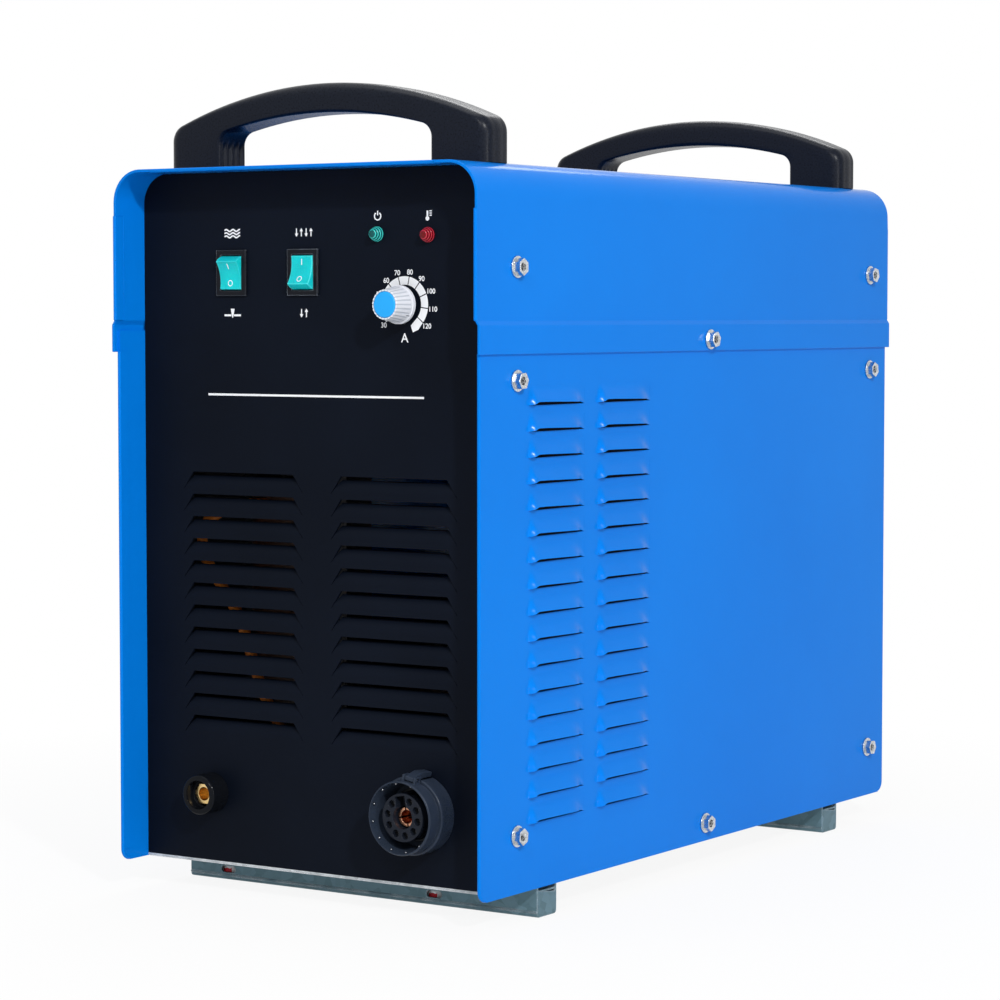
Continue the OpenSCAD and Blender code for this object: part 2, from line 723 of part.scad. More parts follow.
module potentiometer() color("#9b8f6c") on_front(dial_x, dial_z) difference() {
    union() {
        translate([0, 0, -sheet_t - 11]) cylinder(r = 12, h = 11);
        translate([0, 0, -sheet_t]) cylinder(r = bushing_r, h = sheet_t + 5);
        hexagon(10, 2.4);
        translate([-6, -20, -sheet_t - 8]) cube([12, 12, 1.6]);
    }
    translate([0, 0, -9]) cylinder(r = shaft_r + shaft_clear, h = 20);
}

module potentiometer_shaft() color("#c9cccd") on_front(dial_x, dial_z)
    translate([0, 0, -8]) cylinder(r = shaft_r, h = 8 + knob_stand + 13);

// Torch socket

module torch_socket_shell() color("#23252a") on_front(torch_x, torch_z) difference() {
    collar_len = 14;
    groove_r = 23.4;
    ear_t = 1.8;
    ear_half = 3.2;
    ear_top = latch_pin_at[0] + 1.8;
    union() {
        rotate_extrude() polygon([
            [0, -14], [torch_neck_r, -14], [torch_neck_r, 0], [torch_collar_d / 2, 0],
            [torch_collar_d / 2, collar_len - 0.8], [torch_collar_d / 2 - 0.8, collar_len],
            [groove_r, collar_len], [groove_r, collar_len + 2.2], [torch_sleeve_r, collar_len + 2.2],
            [torch_sleeve_r, torch_out - 0.8], [torch_sleeve_r - 0.8, torch_out], [0, torch_out]]);
        for (side = [-1, 1]) rotate([0, 0, latch_turn])
            translate([side * (latch_w / 2 + latch_gap + ear_t / 2) - ear_t / 2, torch_hollow_r - 3,
                       latch_pin_at[1] - ear_half])
                cube([ear_t, ear_top - torch_hollow_r + 3, 2 * ear_half]);
    }
    translate([0, 0, 4]) cylinder(r = torch_hollow_r, h = torch_out);
    translate([0, 0, -15]) cylinder(r = insert_r + shaft_clear, h = 30);
    rotate([0, 0, latch_turn]) {
        translate([-latch_w / 2 - latch_gap, latch_floor, -1])
            cube([latch_w + 2 * latch_gap, 10, collar_len + 2]);
        translate([0, latch_pin_at[0], latch_pin_at[1]]) rotate([0, 90, 0])
            cylinder(r = latch_pin_r + shaft_clear, h = 30, center = true);
    }
}

// Insulating insert: nine pin ways on a circle, a keyway in place of the tenth, and the contact bore
module torch_socket_insert() color("#2b2d32") on_front(torch_x, torch_z) rotate([0, 0, insert_turn]) {
    face = torch_out - insert_recess;
    bore_r = contact_r + 1;
    difference() {
        union() {
            translate([0, 0, -insert_tail]) cylinder(r = insert_r, h = face + insert_tail);
            translate([0, 0, 4]) cylinder(r = insert_r + 2, h = 3);
        }
        translate([0, 0, -15]) cylinder(r = bore_r, h = face + 20);
        for (i = [1 : 9]) rotate([0, 0, 90 + i * pin_step]) translate([pin_circle_r, 0, face - 11])
            cylinder(r = pin_way_r, h = 12);
        translate([-3.75, 0, face - 9]) cube([7.5, 14, 10]);
    }
}

// Copper contact: a tube split into four springy fingers, on a shoulder that fills the insert's bore
module torch_contact() color("#c0723f") on_front(torch_x, torch_z) rotate([0, 0, insert_turn]) {
    front = torch_out - insert_recess - 5;
    difference() {
        union() {
            translate([0, 0, -contact_tail]) cylinder(r = contact_r, h = front + contact_tail);
            translate([0, 0, -12]) cylinder(r = contact_r + 0.95, h = 9);
            translate([0, 0, -insert_tail - 3]) cylinder(r = contact_r + 3, h = 3);
        }
        translate([0, 0, 1]) cylinder(r = contact_bore_r, h = front);
        translate([0, 0, -contact_tail - 1]) cylinder(r = 2.5, h = 30);
        for (a = [0, 90]) rotate([0, 0, a]) translate([-10, -0.4, 4]) cube([20, 0.8, front]);
    }
}

module torch_pin_sockets() color("#c8a24a") on_front(torch_x, torch_z)
    for (i = [1 : 9]) rotate([0, 0, 90 + insert_turn + i * pin_step]) translate([pin_circle_r, 0, 0])
        tube(pin_way_r - 0.1, 1.1, torch_out - insert_recess - 11, torch_out - insert_recess - 5);

// Release lever in a slot of the collar: pressing its high rear end lifts the block at its front
module torch_latch() color("#26282d") on_front(torch_x, torch_z) rotate([0, 0, latch_turn]) difference() {
    translate([-latch_w / 2, 0, 0]) rotate([90, 0, 90]) linear_extrude(latch_w) polygon([
        [26.2, 1.2], [29.6, 1.2], [30.4, 13], [28.3, 20.5], [27.9, 22.5], [25, 22.5], [24.9, 18],
        [25.4, 15], [26.2, 10]]);
    translate([0, latch_pin_at[0], latch_pin_at[1]]) rotate([0, 90, 0])
        cylinder(r = latch_pin_r + shaft_clear, h = 30, center = true);
}

module torch_latch_pin() color("#c9cccd") on_front(torch_x, torch_z) rotate([0, 0, latch_turn])
    translate([0, latch_pin_at[0], latch_pin_at[1]]) rotate([0, 90, 0])
        cylinder(r = latch_pin_r, h = latch_w + 4.6, center = true);

// Work lead socket

module work_socket_barrel() color("#0f1012") on_front(work_x, work_z) rotate_extrude() polygon([
    [6.05, -14], [10.8, -14], [10.8, 0], [work_d / 2, 0], [work_d / 2, 15.8], [work_d / 2 - 1.2, 17],
    [10.2, 17], [9.6, 16.4], [9.6, 9], [8.4, 9], [8.4, 2], [6.05, 2]]);

module work_socket_contact() color("#c8a24a") on_front(work_x, work_z) difference() {
    union() {
        translate([0, 0, 2]) hexagon(13.7, 8);
        translate([0, 0, -24]) cylinder(r = 6, h = 30);
    }
    translate([0, 0, -4]) cylinder(r = contact_bore_r, h = 20);
}

// Nuts behind the panels that draw the sockets and rear fittings tight
module panel_nuts() color("#b9bcbd") {
    back = -sheet_t - 6;
    on_front(torch_x, torch_z) tube(27, torch_neck_r + shaft_clear, back, -sheet_t);
    on_front(work_x, work_z) panel_nut(28, 10.8, back);
    on_rear(gland_at) panel_nut(36, 12.2, back);
    on_rear(gas_inlet_at) panel_nut(24, 8, back);
    on_rear(earth_at) panel_nut(13, 4, back);
}

module panel_nut(af, r, back) difference() {
    translate([0, 0, back]) hexagon(af, 6);
    translate([0, 0, back - 1]) cylinder(r = r + shaft_clear, h = 8);
}

// Fan

// A square frame with a round air way, and a spider on its inner side that holds the rotor's bearing
module fan_frame() color("#2b2c2f") on_rear([0, fan_z]) difference() {
    union() {
        difference() {
            translate([-fan_side / 2, -fan_side / 2, -sheet_t - fan_depth])
                cube([fan_side, fan_side, fan_depth]);
            translate([0, 0, -sheet_t - fan_depth - 1]) cylinder(r = fan_bore / 2, h = fan_depth + 2);
            for (x = [-fan_screw, fan_screw], y = [-fan_screw, fan_screw]) translate([x, y, -20])
                cylinder(r = 2.2, h = 30);
        }
        for (a = [45, 135]) rotate([0, 0, a])
            translate([-fan_bore / 2 - 4, -5, -sheet_t - fan_depth]) cube([fan_bore + 8, 10, 4]);
        translate([0, 0, -sheet_t - fan_depth]) cylinder(r = 38, h = 4);
    }
    translate([0, 0, -sheet_t - fan_depth - 1]) cylinder(r = 4 + shaft_clear, h = 6);
}

module fan_rotor() color("#3a3b3f") on_rear([0, fan_z]) {
    hub_r = 38;
    blade_r = fan_bore / 2 - 3;
    chord = 56;
    mid = -32;
    translate([0, 0, -56]) cylinder(r = hub_r, h = 42);
    translate([0, 0, -sheet_t - fan_depth]) cylinder(r = 4, h = 10);
    intersection() {
        translate([0, 0, -60]) cylinder(r = blade_r, h = 60);
        for (i = [0 : fan_blades - 1]) rotate([0, 0, i * 360 / fan_blades])
            translate([hub_r - 4, 0, mid]) rotate([35, 0, 0])
                translate([0, -chord / 2, -1.3]) cube([blade_r, chord, 2.6]);
    }
}

// Finger guard: wire rings on a cross of radial wires, with a foot over each screw
module fan_guard() color("#c4c8ca") on_rear([0, fan_z]) {
    wire_r = 1.3;
    rings = [18, 34, 50, 66, 82, 98];
    reach = fan_screw * sqrt(2);
    for (r = rings) rotate_extrude() translate([r, 2 * wire_r]) circle(wire_r);
    difference() {
        for (a = [45, 135]) rotate([0, 0, a]) {
            translate([-reach, -2, 0]) cube([2 * reach, 4, 2 * wire_r]);
            for (end = [-1, 1]) translate([end * reach, 0, 0]) cylinder(r = 5.5, h = 2 * wire_r);
        }
        for (x = [-fan_screw, fan_screw], y = [-fan_screw, fan_screw]) translate([x, y, -1])
            cylinder(r = 2.2, h = 2 * wire_r + 2);
    }
}

module fan_screws() color("#c9cccd") on_rear([0, fan_z])
    for (x = [-fan_screw, fan_screw], y = [-fan_screw, fan_screw]) translate([x, y, 2.6]) {
        cylinder(r = 4, h = 2.4);
        translate([0, 0, -20]) cylinder(r = 2, h = 20);
    }

// Mains breaker

module breaker_body() color("#d9dbd8") on_rear(breaker_at) difference() {
    union() {
        translate([-27, -23, -60]) cube([54, 46, 62]);
        translate([-30, -26, 0]) cube([60, 52, 2]);
        translate([-27, -11, 2]) cube([54, 22, 3]);
    }
    translate([-18.4, 0, 0]) rotate([0, 90, 0]) cylinder(r = 8, h = 36.8);
    translate([-18.4, -8, 0]) cube([36.8, 16, 10]);
    rotate([0, 90, 0]) cylinder(r = trunnion_r + shaft_clear, h = 42, center = true);
}

module breaker_toggle() color("#1c3f94") on_rear(breaker_at) rotate([35, 0, 0]) {
    rotate([0, 90, 0]) cylinder(r = 7.4, h = 36, center = true);
    translate([-18, -2.5, 0]) cube([36, 5, 14]);
    rotate([0, 90, 0]) cylinder(r = trunnion_r, h = 41, center = true);
}

// Rear fittings

module cable_gland() color("#202124") on_rear(gland_at) difference() {
    union() {
        hexagon(33, 6);
        rotate_extrude() polygon([[0, -14], [12.2, -14], [12.2, 0], [15.4, 0], [15.4, 10],
                                  [14.4, 13.5], [12, 16], [0, 16]]);
    }
    translate([0, 0, -15]) cylinder(r = 9, h = 40);
}

module gas_inlet() color("#c8a24a") on_rear(gas_inlet_at) difference() {
    union() {
        hexagon(22, 9);
        translate([0, 0, -20]) cylinder(r = 8, h = 21);
    }
    translate([0, 0, -5]) cylinder(r = 5.9, h = 20);
    translate([0, 0, -21]) cylinder(r = 3, h = 30);
}

module earth_stud() color("#c8a24a") on_rear(earth_at) {
    translate([0, 0, -12]) cylinder(r = 4, h = 27);
    hexagon(13, 4);
}

// Solenoid valve screwed on the back of the inlet: a brass body with a coil on top
module gas_valve() color("#b8955a") on_rear(gas_inlet_at) difference() {
    union() {
        translate([-16, -16, -68]) cube([32, 32, 48]);
        translate([0, 16, -44]) rotate([-90, 0, 0]) cylinder(r = 6, h = 6);
        translate([-14, 18, -60]) cube([28, 10, 32]);
        translate([0, 0, valve_out_y - rear_y]) cylinder(r = 6, h = 20);
    }
    translate([0, 0, -90]) cylinder(r = 2.6, h = 80);
}

// Rings of a round tube along a route: ends are the directions in which it starts and stops, and across
// is a direction that it never runs along
function tube_rings(route, ends, across, r) =
    let (last = len(route) - 1)
    [for (i = [0 : last])
        let (d = route[min(i + 1, last)] - route[max(i - 1, 0)],
             t = i == 0 ? ends[0] : i == last ? ends[1] : d / norm(d),
             side = cross(t, across) / norm(cross(t, across)),
             up = cross(side, t))
        [for (k = [0 : tube_sides - 1]) let (a = -360 * k / tube_sides)
            route[i] + r * (cos(a) * side + sin(a) * up)]];

module gas_hose() color("#2255aa") loft(tube_rings(hose_route, [[0, -1, 0], [0, -1, 0]], [1, 0, 0], hose_r));

module torch_lead() color("#e8742c") loft(tube_rings(lead_route, [[0, -1, 0], [1, 0, 0]], [0, 1, 1], lead_r));

// Crimped lug: a ring round the torch contact's tail, and the barrel that holds the lead
module torch_lead_lug() color("#c9cccd") on_front(torch_x, torch_z) {
    tube(11, contact_r + shaft_clear, lug_z[0], lug_z[1]);
    translate([-lug_barrel[1], 0, (lug_z[0] + lug_z[1]) / 2]) rotate([0, 90, 0])
        cylinder(r = 4.6, h = lug_barrel[1] - lug_barrel[0]);
}

// Parts inside

module inner_deck() color("#b9bfc0") difference() {
    union() {
        translate([-inner_x, -deck_y, deck_z]) cube([2 * inner_x, 2 * deck_y, sheet_t]);
        both_sides() translate([inner_x - sheet_t, -deck_y, deck_z])
            cube([sheet_t, 2 * deck_y, deck_flange_h]);
    }
    bolt_holes([lap_bolt]);
}

// A wound block with round corners, which a core's middle leg goes through
module winding(w, d, h, r, leg) {
    difference() {
        union() {
            translate([-w / 2, -d / 2 + r, 0]) cube([w, d - 2 * r, h]);
            translate([-w / 2 + r, -d / 2, 0]) cube([w - 2 * r, d, h]);
            for (x = [-1, 1], y = [-1, 1]) translate([x * (w / 2 - r), y * (d / 2 - r), 0])
                cylinder(r = r, h = h);
        }
        translate([-leg[0] / 2, -leg[1] / 2, -1]) cube([leg[0], leg[1], h + 2]);
    }
}

module core_frame(w, d, h, leg, window) {
    translate([-w / 2, -d / 2, 0]) difference() {
        cube([w, d, h]);
        translate([leg, -1, leg]) cube([window, d + 2, h - 2 * leg]);
        translate([w - leg - window, -1, leg]) cube([window, d + 2, h - 2 * leg]);
    }
}

// Three-legged core: two windows, with the winding on the middle leg
module choke_core() color("#55585c") translate([choke_at[0], choke_at[1], tray_top_z])
    core_frame(88, 30, 275, choke_yoke, 20);
module choke_winding() color("#c9682a") translate([choke_at[0], choke_at[1], tray_top_z + choke_yoke])
    winding(60, choke_winding_d, 246, 12, [24.6, 30.6]);

// Insulating board between the choke and the side panel, on a foot folded along its lower edge
module choke_screen() color("#1d1e20") {
    screen_t = 1.5;
    screen_y = [-238, -120];
    translate([-138, screen_y[0], tray_top_z]) {
        cube([screen_t, screen_y[1] - screen_y[0], 303]);
        cube([16, screen_y[1] - screen_y[0], screen_t]);
    }
}

module transformer_core() color("#4b4e52") translate([transformer_at[0], transformer_at[1], tray_top_z])
    core_frame(150, 60, 140, transformer_yoke, 36);
module transformer_winding() color("#c9682a")
    translate([transformer_at[0], transformer_at[1], tray_top_z + transformer_yoke])
        winding(100, 106, 92, 14, [34.6, 60.6]);

// Finned heat sink: its outer two fins are long and stand on the tray
module heat_sink() color("#c3c7ca") {
    fins = 17;
    w = 200;
    top = 196;
    base_t = 14;
    fin_t = 3;
    along_y(10, 190) {
        translate([-w / 2, top - base_t]) square([w, base_t]);
        for (i = [0 : fins - 1]) {
            foot = i == 0 || i == fins - 1 ? tray_top_z : 60;
            translate([-w / 2 + i * (w - fin_t) / (fins - 1), foot]) square([fin_t, top - base_t - foot]);
        }
    }
}

module power_modules() color("#d8d2c4") for (x = [-62, 0, 62], y = [60, 140]) translate([x, y, 196]) {
    translate([-23, -30, 0]) cube([46, 60, 22]);
    for (dy = [-18, 0, 18]) translate([-6, dy - 5, 22]) cube([12, 10, 5]);
}

module control_board() color("#1c6b3a") translate([0, -110, deck_z + sheet_t]) {
    for (x = [-90, 90], y = [-55, 55]) translate([x, y, 0]) cylinder(r = 3, h = 10);
    translate([-100, -65, 10]) cube([200, 130, 1.6]);
    translate([-70, -40, 11.6]) cube([46, 34, 28]);
    translate([30, -30, 11.6]) cube([30, 60, 18]);
    for (x = [-10, 8], y = [-30, 0, 30]) translate([x, y, 11.6]) cylinder(r = 6, h = 20);
}

module capacitors() color("#33373d") for (x = [-66, -22, 22, 66], y = [60, 110])
    translate([x, y, deck_z + sheet_t]) cylinder(r = 17.5, h = 72);

base_tray();
front_foot();
rear_foot();
foot_bolts();
front_panel();
rear_panel();
top_cover();
left_side_panel();
right_side_panel();
cover_bolts();
cover_nuts();
front_handle();
rear_handle();
handle_screws();
gas_switch_body();
gas_switch_rocker();
step_switch_body();
step_switch_rocker();
power_lamp();
fault_lamp();
lamp_holders();
current_knob();
knob_cap();
potentiometer();
potentiometer_shaft();
torch_socket_shell();
torch_socket_insert();
torch_contact();
torch_pin_sockets();
torch_latch();
torch_latch_pin();
work_socket_barrel();
work_socket_contact();
panel_nuts();
fan_frame();
fan_rotor();
fan_guard();
fan_screws();
breaker_body();
breaker_toggle();
cable_gland();
gas_inlet();
gas_valve();
gas_hose();
torch_lead();
torch_lead_lug();
earth_stud();
inner_deck();
transformer_core();
transformer_winding();
choke_core();
choke_winding();
choke_screen();
heat_sink();
power_modules();
control_board();
capacitors();
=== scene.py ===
"""Plasma cutter unit: the looks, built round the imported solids.

Metres, +Z up, front towards -Y. Each section is one piece, or one group of like pieces, in the
order in which the unit is put together.
"""
import json
import math

import bmesh
import bpy
from mathutils import Matrix, Vector

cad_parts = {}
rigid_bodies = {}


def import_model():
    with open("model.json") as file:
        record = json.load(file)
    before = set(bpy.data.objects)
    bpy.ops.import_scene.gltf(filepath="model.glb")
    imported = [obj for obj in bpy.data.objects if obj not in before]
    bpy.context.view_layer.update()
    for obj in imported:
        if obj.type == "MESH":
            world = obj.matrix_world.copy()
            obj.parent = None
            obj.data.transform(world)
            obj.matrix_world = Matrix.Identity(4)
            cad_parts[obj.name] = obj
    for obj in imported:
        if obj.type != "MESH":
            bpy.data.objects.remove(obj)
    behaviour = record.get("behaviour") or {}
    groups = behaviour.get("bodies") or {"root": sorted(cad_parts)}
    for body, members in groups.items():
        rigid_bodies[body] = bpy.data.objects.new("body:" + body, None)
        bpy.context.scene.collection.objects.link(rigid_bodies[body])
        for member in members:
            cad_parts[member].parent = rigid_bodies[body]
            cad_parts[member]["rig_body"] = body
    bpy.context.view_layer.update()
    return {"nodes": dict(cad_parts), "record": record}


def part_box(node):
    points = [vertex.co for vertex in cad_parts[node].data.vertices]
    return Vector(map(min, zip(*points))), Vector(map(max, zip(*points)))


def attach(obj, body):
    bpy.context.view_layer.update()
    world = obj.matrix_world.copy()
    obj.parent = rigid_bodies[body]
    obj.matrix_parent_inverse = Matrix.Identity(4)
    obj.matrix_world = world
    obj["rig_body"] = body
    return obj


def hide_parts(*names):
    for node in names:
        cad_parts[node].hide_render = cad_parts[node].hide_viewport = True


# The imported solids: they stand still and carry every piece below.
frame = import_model()
solids = frame["nodes"]
slot_of = {part["node"]: part["material_slot"] for part in frame["record"]["subparts"]}


# Studio: a pale floor, a white surround and soft lamps. The surround is white to the camera and to
# reflections, and a dimmer even light to everything else, so that colours come out as written.
scene = bpy.context.scene
scene.view_settings.view_transform = "Standard"


def add_node(tree, kind, inputs=None, **settings):
    """A shader node with its settings, and with its inputs linked to sockets or set to values."""
    node = tree.nodes.new("ShaderNode" + kind)
    for key, value in settings.items():
        setattr(node, key, value)
    for key, value in (inputs or {}).items():
        if isinstance(value, bpy.types.NodeSocket):
            tree.links.new(value, node.inputs[key])
        else:
            node.inputs[key].default_value = value
    return node


def work_out(tree, operation, first, second=0.0):
    """The result of one sum on sockets or values."""
    return add_node(tree, "Math", {0: first, 1: second}, operation=operation).outputs[0]


def seen_directly(tree):
    """1 for rays from the camera, a reflection or a clear body, 0 for light that falls on things."""
    ray = add_node(tree, "LightPath")
    mirrored = work_out(tree, "MAXIMUM", ray.outputs["Is Camera Ray"], ray.outputs["Is Glossy Ray"])
    return work_out(tree, "MAXIMUM", mirrored, ray.outputs["Is Transmission Ray"])


def mesh_from(build, name, smooth=False):
    """Turns a build into a mesh, with smooth shading where that is asked for."""
    mesh = bpy.data.meshes.new(name)
    build.to_mesh(mesh)
    build.free()
    if smooth:
        mesh.polygons.foreach_set("use_smooth", [True] * len(mesh.polygons))
    return mesh


surround = bpy.data.worlds.new("White_surround")
scene.world = surround
surround.use_nodes = True
sky = surround.node_tree
sky.nodes.clear()
room_light = add_node(sky, "Background", {"Color": (0.93, 0.96, 1.0, 1), "Strength": 0.3})
white_wall = add_node(sky, "Background", {"Color": (1, 1, 1, 1), "Strength": 1.0})
wall_mix = add_node(sky, "MixShader", {0: seen_directly(sky), 1: room_light.outputs[0],
                                       2: white_wall.outputs[0]})
add_node(sky, "OutputWorld", {"Surface": wall_mix.outputs[0]})

floor_radius = 2.6
floor_build = bmesh.new()
bmesh.ops.create_circle(floor_build, cap_ends=True, radius=floor_radius, segments=96)
floor_mesh = mesh_from(floor_build, "Studio_floor")
floor = bpy.data.objects.new("Studio_floor", floor_mesh)
scene.collection.objects.link(floor)
floor_paper = bpy.data.materials.new("Floor_paper")
floor_paper.use_nodes = True
paper = floor_paper.node_tree
paper_shader = paper.nodes["Principled BSDF"]
paper_shader.inputs["Base Color"].default_value = (0.92, 0.92, 0.92, 1)
paper_shader.inputs["Roughness"].default_value = 0.9
floor_place = add_node(paper, "TexCoord").outputs["Object"]
floor_reach = add_node(paper, "VectorMath", {0: floor_place}, operation="LENGTH")
# Near the unit the paper shows its shadow, and further out it runs into the white surround
paper_white = add_node(paper, "MapRange", {"Value": floor_reach.outputs["Value"], "From Min": 0.3,
                                           "From Max": 0.8, "To Min": 0.9, "To Max": 1.0})
paper_share = work_out(paper, "MULTIPLY", seen_directly(paper), paper_white.outputs[0])
paper_glow = add_node(paper, "Emission", {"Color": (1, 1, 1, 1), "Strength": 1.0})
paper_mix = add_node(paper, "MixShader", {0: paper_share, 1: paper_shader.outputs[0],
                                          2: paper_glow.outputs[0]})
paper.links.new(paper_mix.outputs[0], paper.nodes["Material Output"].inputs["Surface"])
floor_mesh.materials.append(floor_paper)


def soft_lamp(name, place, aim, size, power):
    """A rectangular lamp of a power in watts, turned towards a point."""
    lamp = bpy.data.lights.new(name, "AREA")
    lamp.shape = "RECTANGLE"
    lamp.size, lamp.size_y = size
    lamp.energy = power
    holder = bpy.data.objects.new(name, lamp)
    holder.location = place
    holder.rotation_euler = (Vector(aim) - Vector(place)).to_track_quat("-Z", "Y").to_euler()
    scene.collection.objects.link(holder)


soft_lamp("Key_lamp", (2.4, -2.0, 1.9), (0, -0.05, 0.26), (0.16, 0.16), 63)
soft_lamp("Front_softbox", (0.8, -2.1, 1.7), (0, -0.2, 0.28), (0.5, 0.5), 11)
soft_lamp("Strip_lamp", (2.76, -1.2, 0.6), (0.13, -0.24, 0.5), (0.06, 0.5), 9)
soft_lamp("Top_softbox", (-0.2, -0.3, 2.4), (0, 0, 0.3), (1.4, 1.4), 12)
soft_lamp("Rear_softbox", (-0.9, 2.0, 2.3), (0, 0.2, 0.3), (1.2, 1.0), 17)

# The camera stands where the photo was taken from
camera = bpy.data.cameras.new("Photo_camera")
camera.sensor_width = 36
camera.lens = 112.84
camera.clip_start = 0.05
camera_stand = bpy.data.objects.new("Photo_camera", camera)
camera_stand.location = (1.2421, -1.9373, 0.3963)
camera_stand.rotation_euler = (math.radians(86.6195), 0, math.radians(33.174))
scene.collection.objects.link(camera_stand)
scene.camera = camera_stand


# Base tray and inner deck: sheet steel, hot-dip galvanised, cut and folded, then bolted together.
# The zinc freezes in flat crystals of a few millimetres, each a little lighter or darker.
def mix_values(tree, share, low, high):
    """A value between two others, by a share."""
    return add_node(tree, "Mix", {0: share, 2: low, 3: high}, data_type="FLOAT").outputs[0]


def mix_colours(tree, share, low, high):
    """A colour between two others, by a share."""
    return add_node(tree, "Mix", {0: share, 6: low, 7: high}, data_type="RGBA").outputs[2]


def effect_group(name, inputs, outputs):
    """An empty shader node group of numbers, and its input and output nodes."""
    tree = bpy.data.node_groups.new(name, "ShaderNodeTree")
    for label, value in inputs.items():
        socket = tree.interface.new_socket(label, in_out="INPUT", socket_type="NodeSocketFloat")
        socket.default_value = value
    for label in outputs:
        tree.interface.new_socket(label, in_out="OUTPUT", socket_type="NodeSocketFloat")
    return tree, tree.nodes.new("NodeGroupInput"), tree.nodes.new("NodeGroupOutput")


# Zinc spangle: a tone for each crystal with fine mottling over it, and faint relief
spangle, spangle_in, spangle_out = effect_group(
    "Zinc_spangle", {"Crystals per metre": 150.0, "Mottle": 0.4}, ["Tone", "Height"])
spangle_place = add_node(spangle, "TexCoord").outputs["Object"]
crystals = add_node(spangle, "TexVoronoi", {"Vector": spangle_place,
                                            "Scale": spangle_in.outputs["Crystals per metre"]})
crystal_tone = add_node(spangle, "SeparateColor", {0: crystals.outputs["Color"]})
mottle = add_node(spangle, "TexNoise", {"Vector": spangle_place, "Scale": 60.0, "Detail": 6.0})
spangle_tone = mix_values(spangle, spangle_in.outputs["Mottle"], crystal_tone.outputs[0],
                          mottle.outputs[0])
zinc_relief = add_node(spangle, "TexNoise", {"Vector": spangle_place, "Scale": 700.0, "Detail": 3.0})
spangle.links.new(spangle_tone, spangle_out.inputs["Tone"])
spangle.links.new(zinc_relief.outputs[0], spangle_out.inputs["Height"])

# Painted edge highlight: a mask where the surface turns sharply, broken up so that it isn't an even line.
# The lighter colour mixed in along it is a painted highlight, not wear.
edges, highlight_in, highlight_out = effect_group(
    "Painted_edge_highlight", {"Width": 0.001, "Patches per metre": 90.0}, ["Mask"])
true_normal = add_node(edges, "NewGeometry").outputs["Normal"]
round_normal = add_node(edges, "Bevel", {"Radius": highlight_in.outputs["Width"]}, samples=4)
turn = add_node(edges, "VectorMath", {0: true_normal, 1: round_normal.outputs[0]},
                operation="DOT_PRODUCT")
turned = add_node(edges, "MapRange", {"Value": turn.outputs["Value"], "From Min": 0.98, "From Max": 0.8})
edge_patches = add_node(edges, "TexNoise", {"Vector": add_node(edges, "TexCoord").outputs["Object"],
                                            "Scale": highlight_in.outputs["Patches per metre"]})
patch_mask = add_node(edges, "MapRange", {"Value": edge_patches.outputs[0], "From Min": 0.35,
                                          "From Max": 0.6, "To Min": 0.25})
highlight_mask = work_out(edges, "MULTIPLY", turned.outputs[0], patch_mask.outputs[0])
edges.links.new(highlight_mask, highlight_out.inputs["Mask"])


def make_finish(name, effect, dark, light, rough, relief, settings=None, **shader_values):
    """A material that wanders between two colours and two roughnesses with an effect's tone, with the
    effect's height as relief in metres. Shader values are set on the shader's own sockets."""
    finish = bpy.data.materials.new(name)
    finish.use_nodes = True
    tree = finish.node_tree
    shader = tree.nodes["Principled BSDF"]
    pattern = add_node(tree, "Group", settings, node_tree=effect)
    colour = mix_colours(tree, pattern.outputs["Tone"], (*dark, 1), (*light, 1))
    colour.node.name = "Colour"
    tree.links.new(colour, shader.inputs["Base Color"])
    gloss = add_node(tree, "MapRange", {"Value": pattern.outputs["Tone"], "To Min": rough[0],
                                        "To Max": rough[1]})
    tree.links.new(gloss.outputs[0], shader.inputs["Roughness"])
    bump = add_node(tree, "Bump", {"Height": pattern.outputs["Height"], "Distance": relief})
    tree.links.new(bump.outputs[0], shader.inputs["Normal"])
    for key, value in shader_values.items():
        shader.inputs[key.replace("_", " ")].default_value = value
    return finish


def mix_in(finish, mask, colour):
    """Mixes another colour into a finish as far as a mask says."""
    tree = finish.node_tree
    mixed = mix_colours(tree, mask, tree.nodes["Colour"].outputs[2], (*colour, 1))
    tree.links.new(mixed, tree.nodes["Principled BSDF"].inputs["Base Color"])


def brighten_edges(finish, width, colour, patches=90.0):
    """Mixes a lighter colour into a finish along its edges, as a painted highlight."""
    painted_highlight = add_node(finish.node_tree, "Group", {"Width": width, "Patches per metre": patches},
                    node_tree=edges)
    mix_in(finish, painted_highlight.outputs["Mask"], colour)


def dress(node, finish):
    """Gives a solid that stays as it is a better material."""
    for place in solids[node].material_slots:
        place.material = finish


def join_flat_faces(build):
    """Joins triangles that lie in one plane, so that only real edges are left to be rounded."""
    flat_within = math.radians(0.4)
    bmesh.ops.dissolve_limit(build, angle_limit=flat_within, verts=build.verts, edges=build.edges)


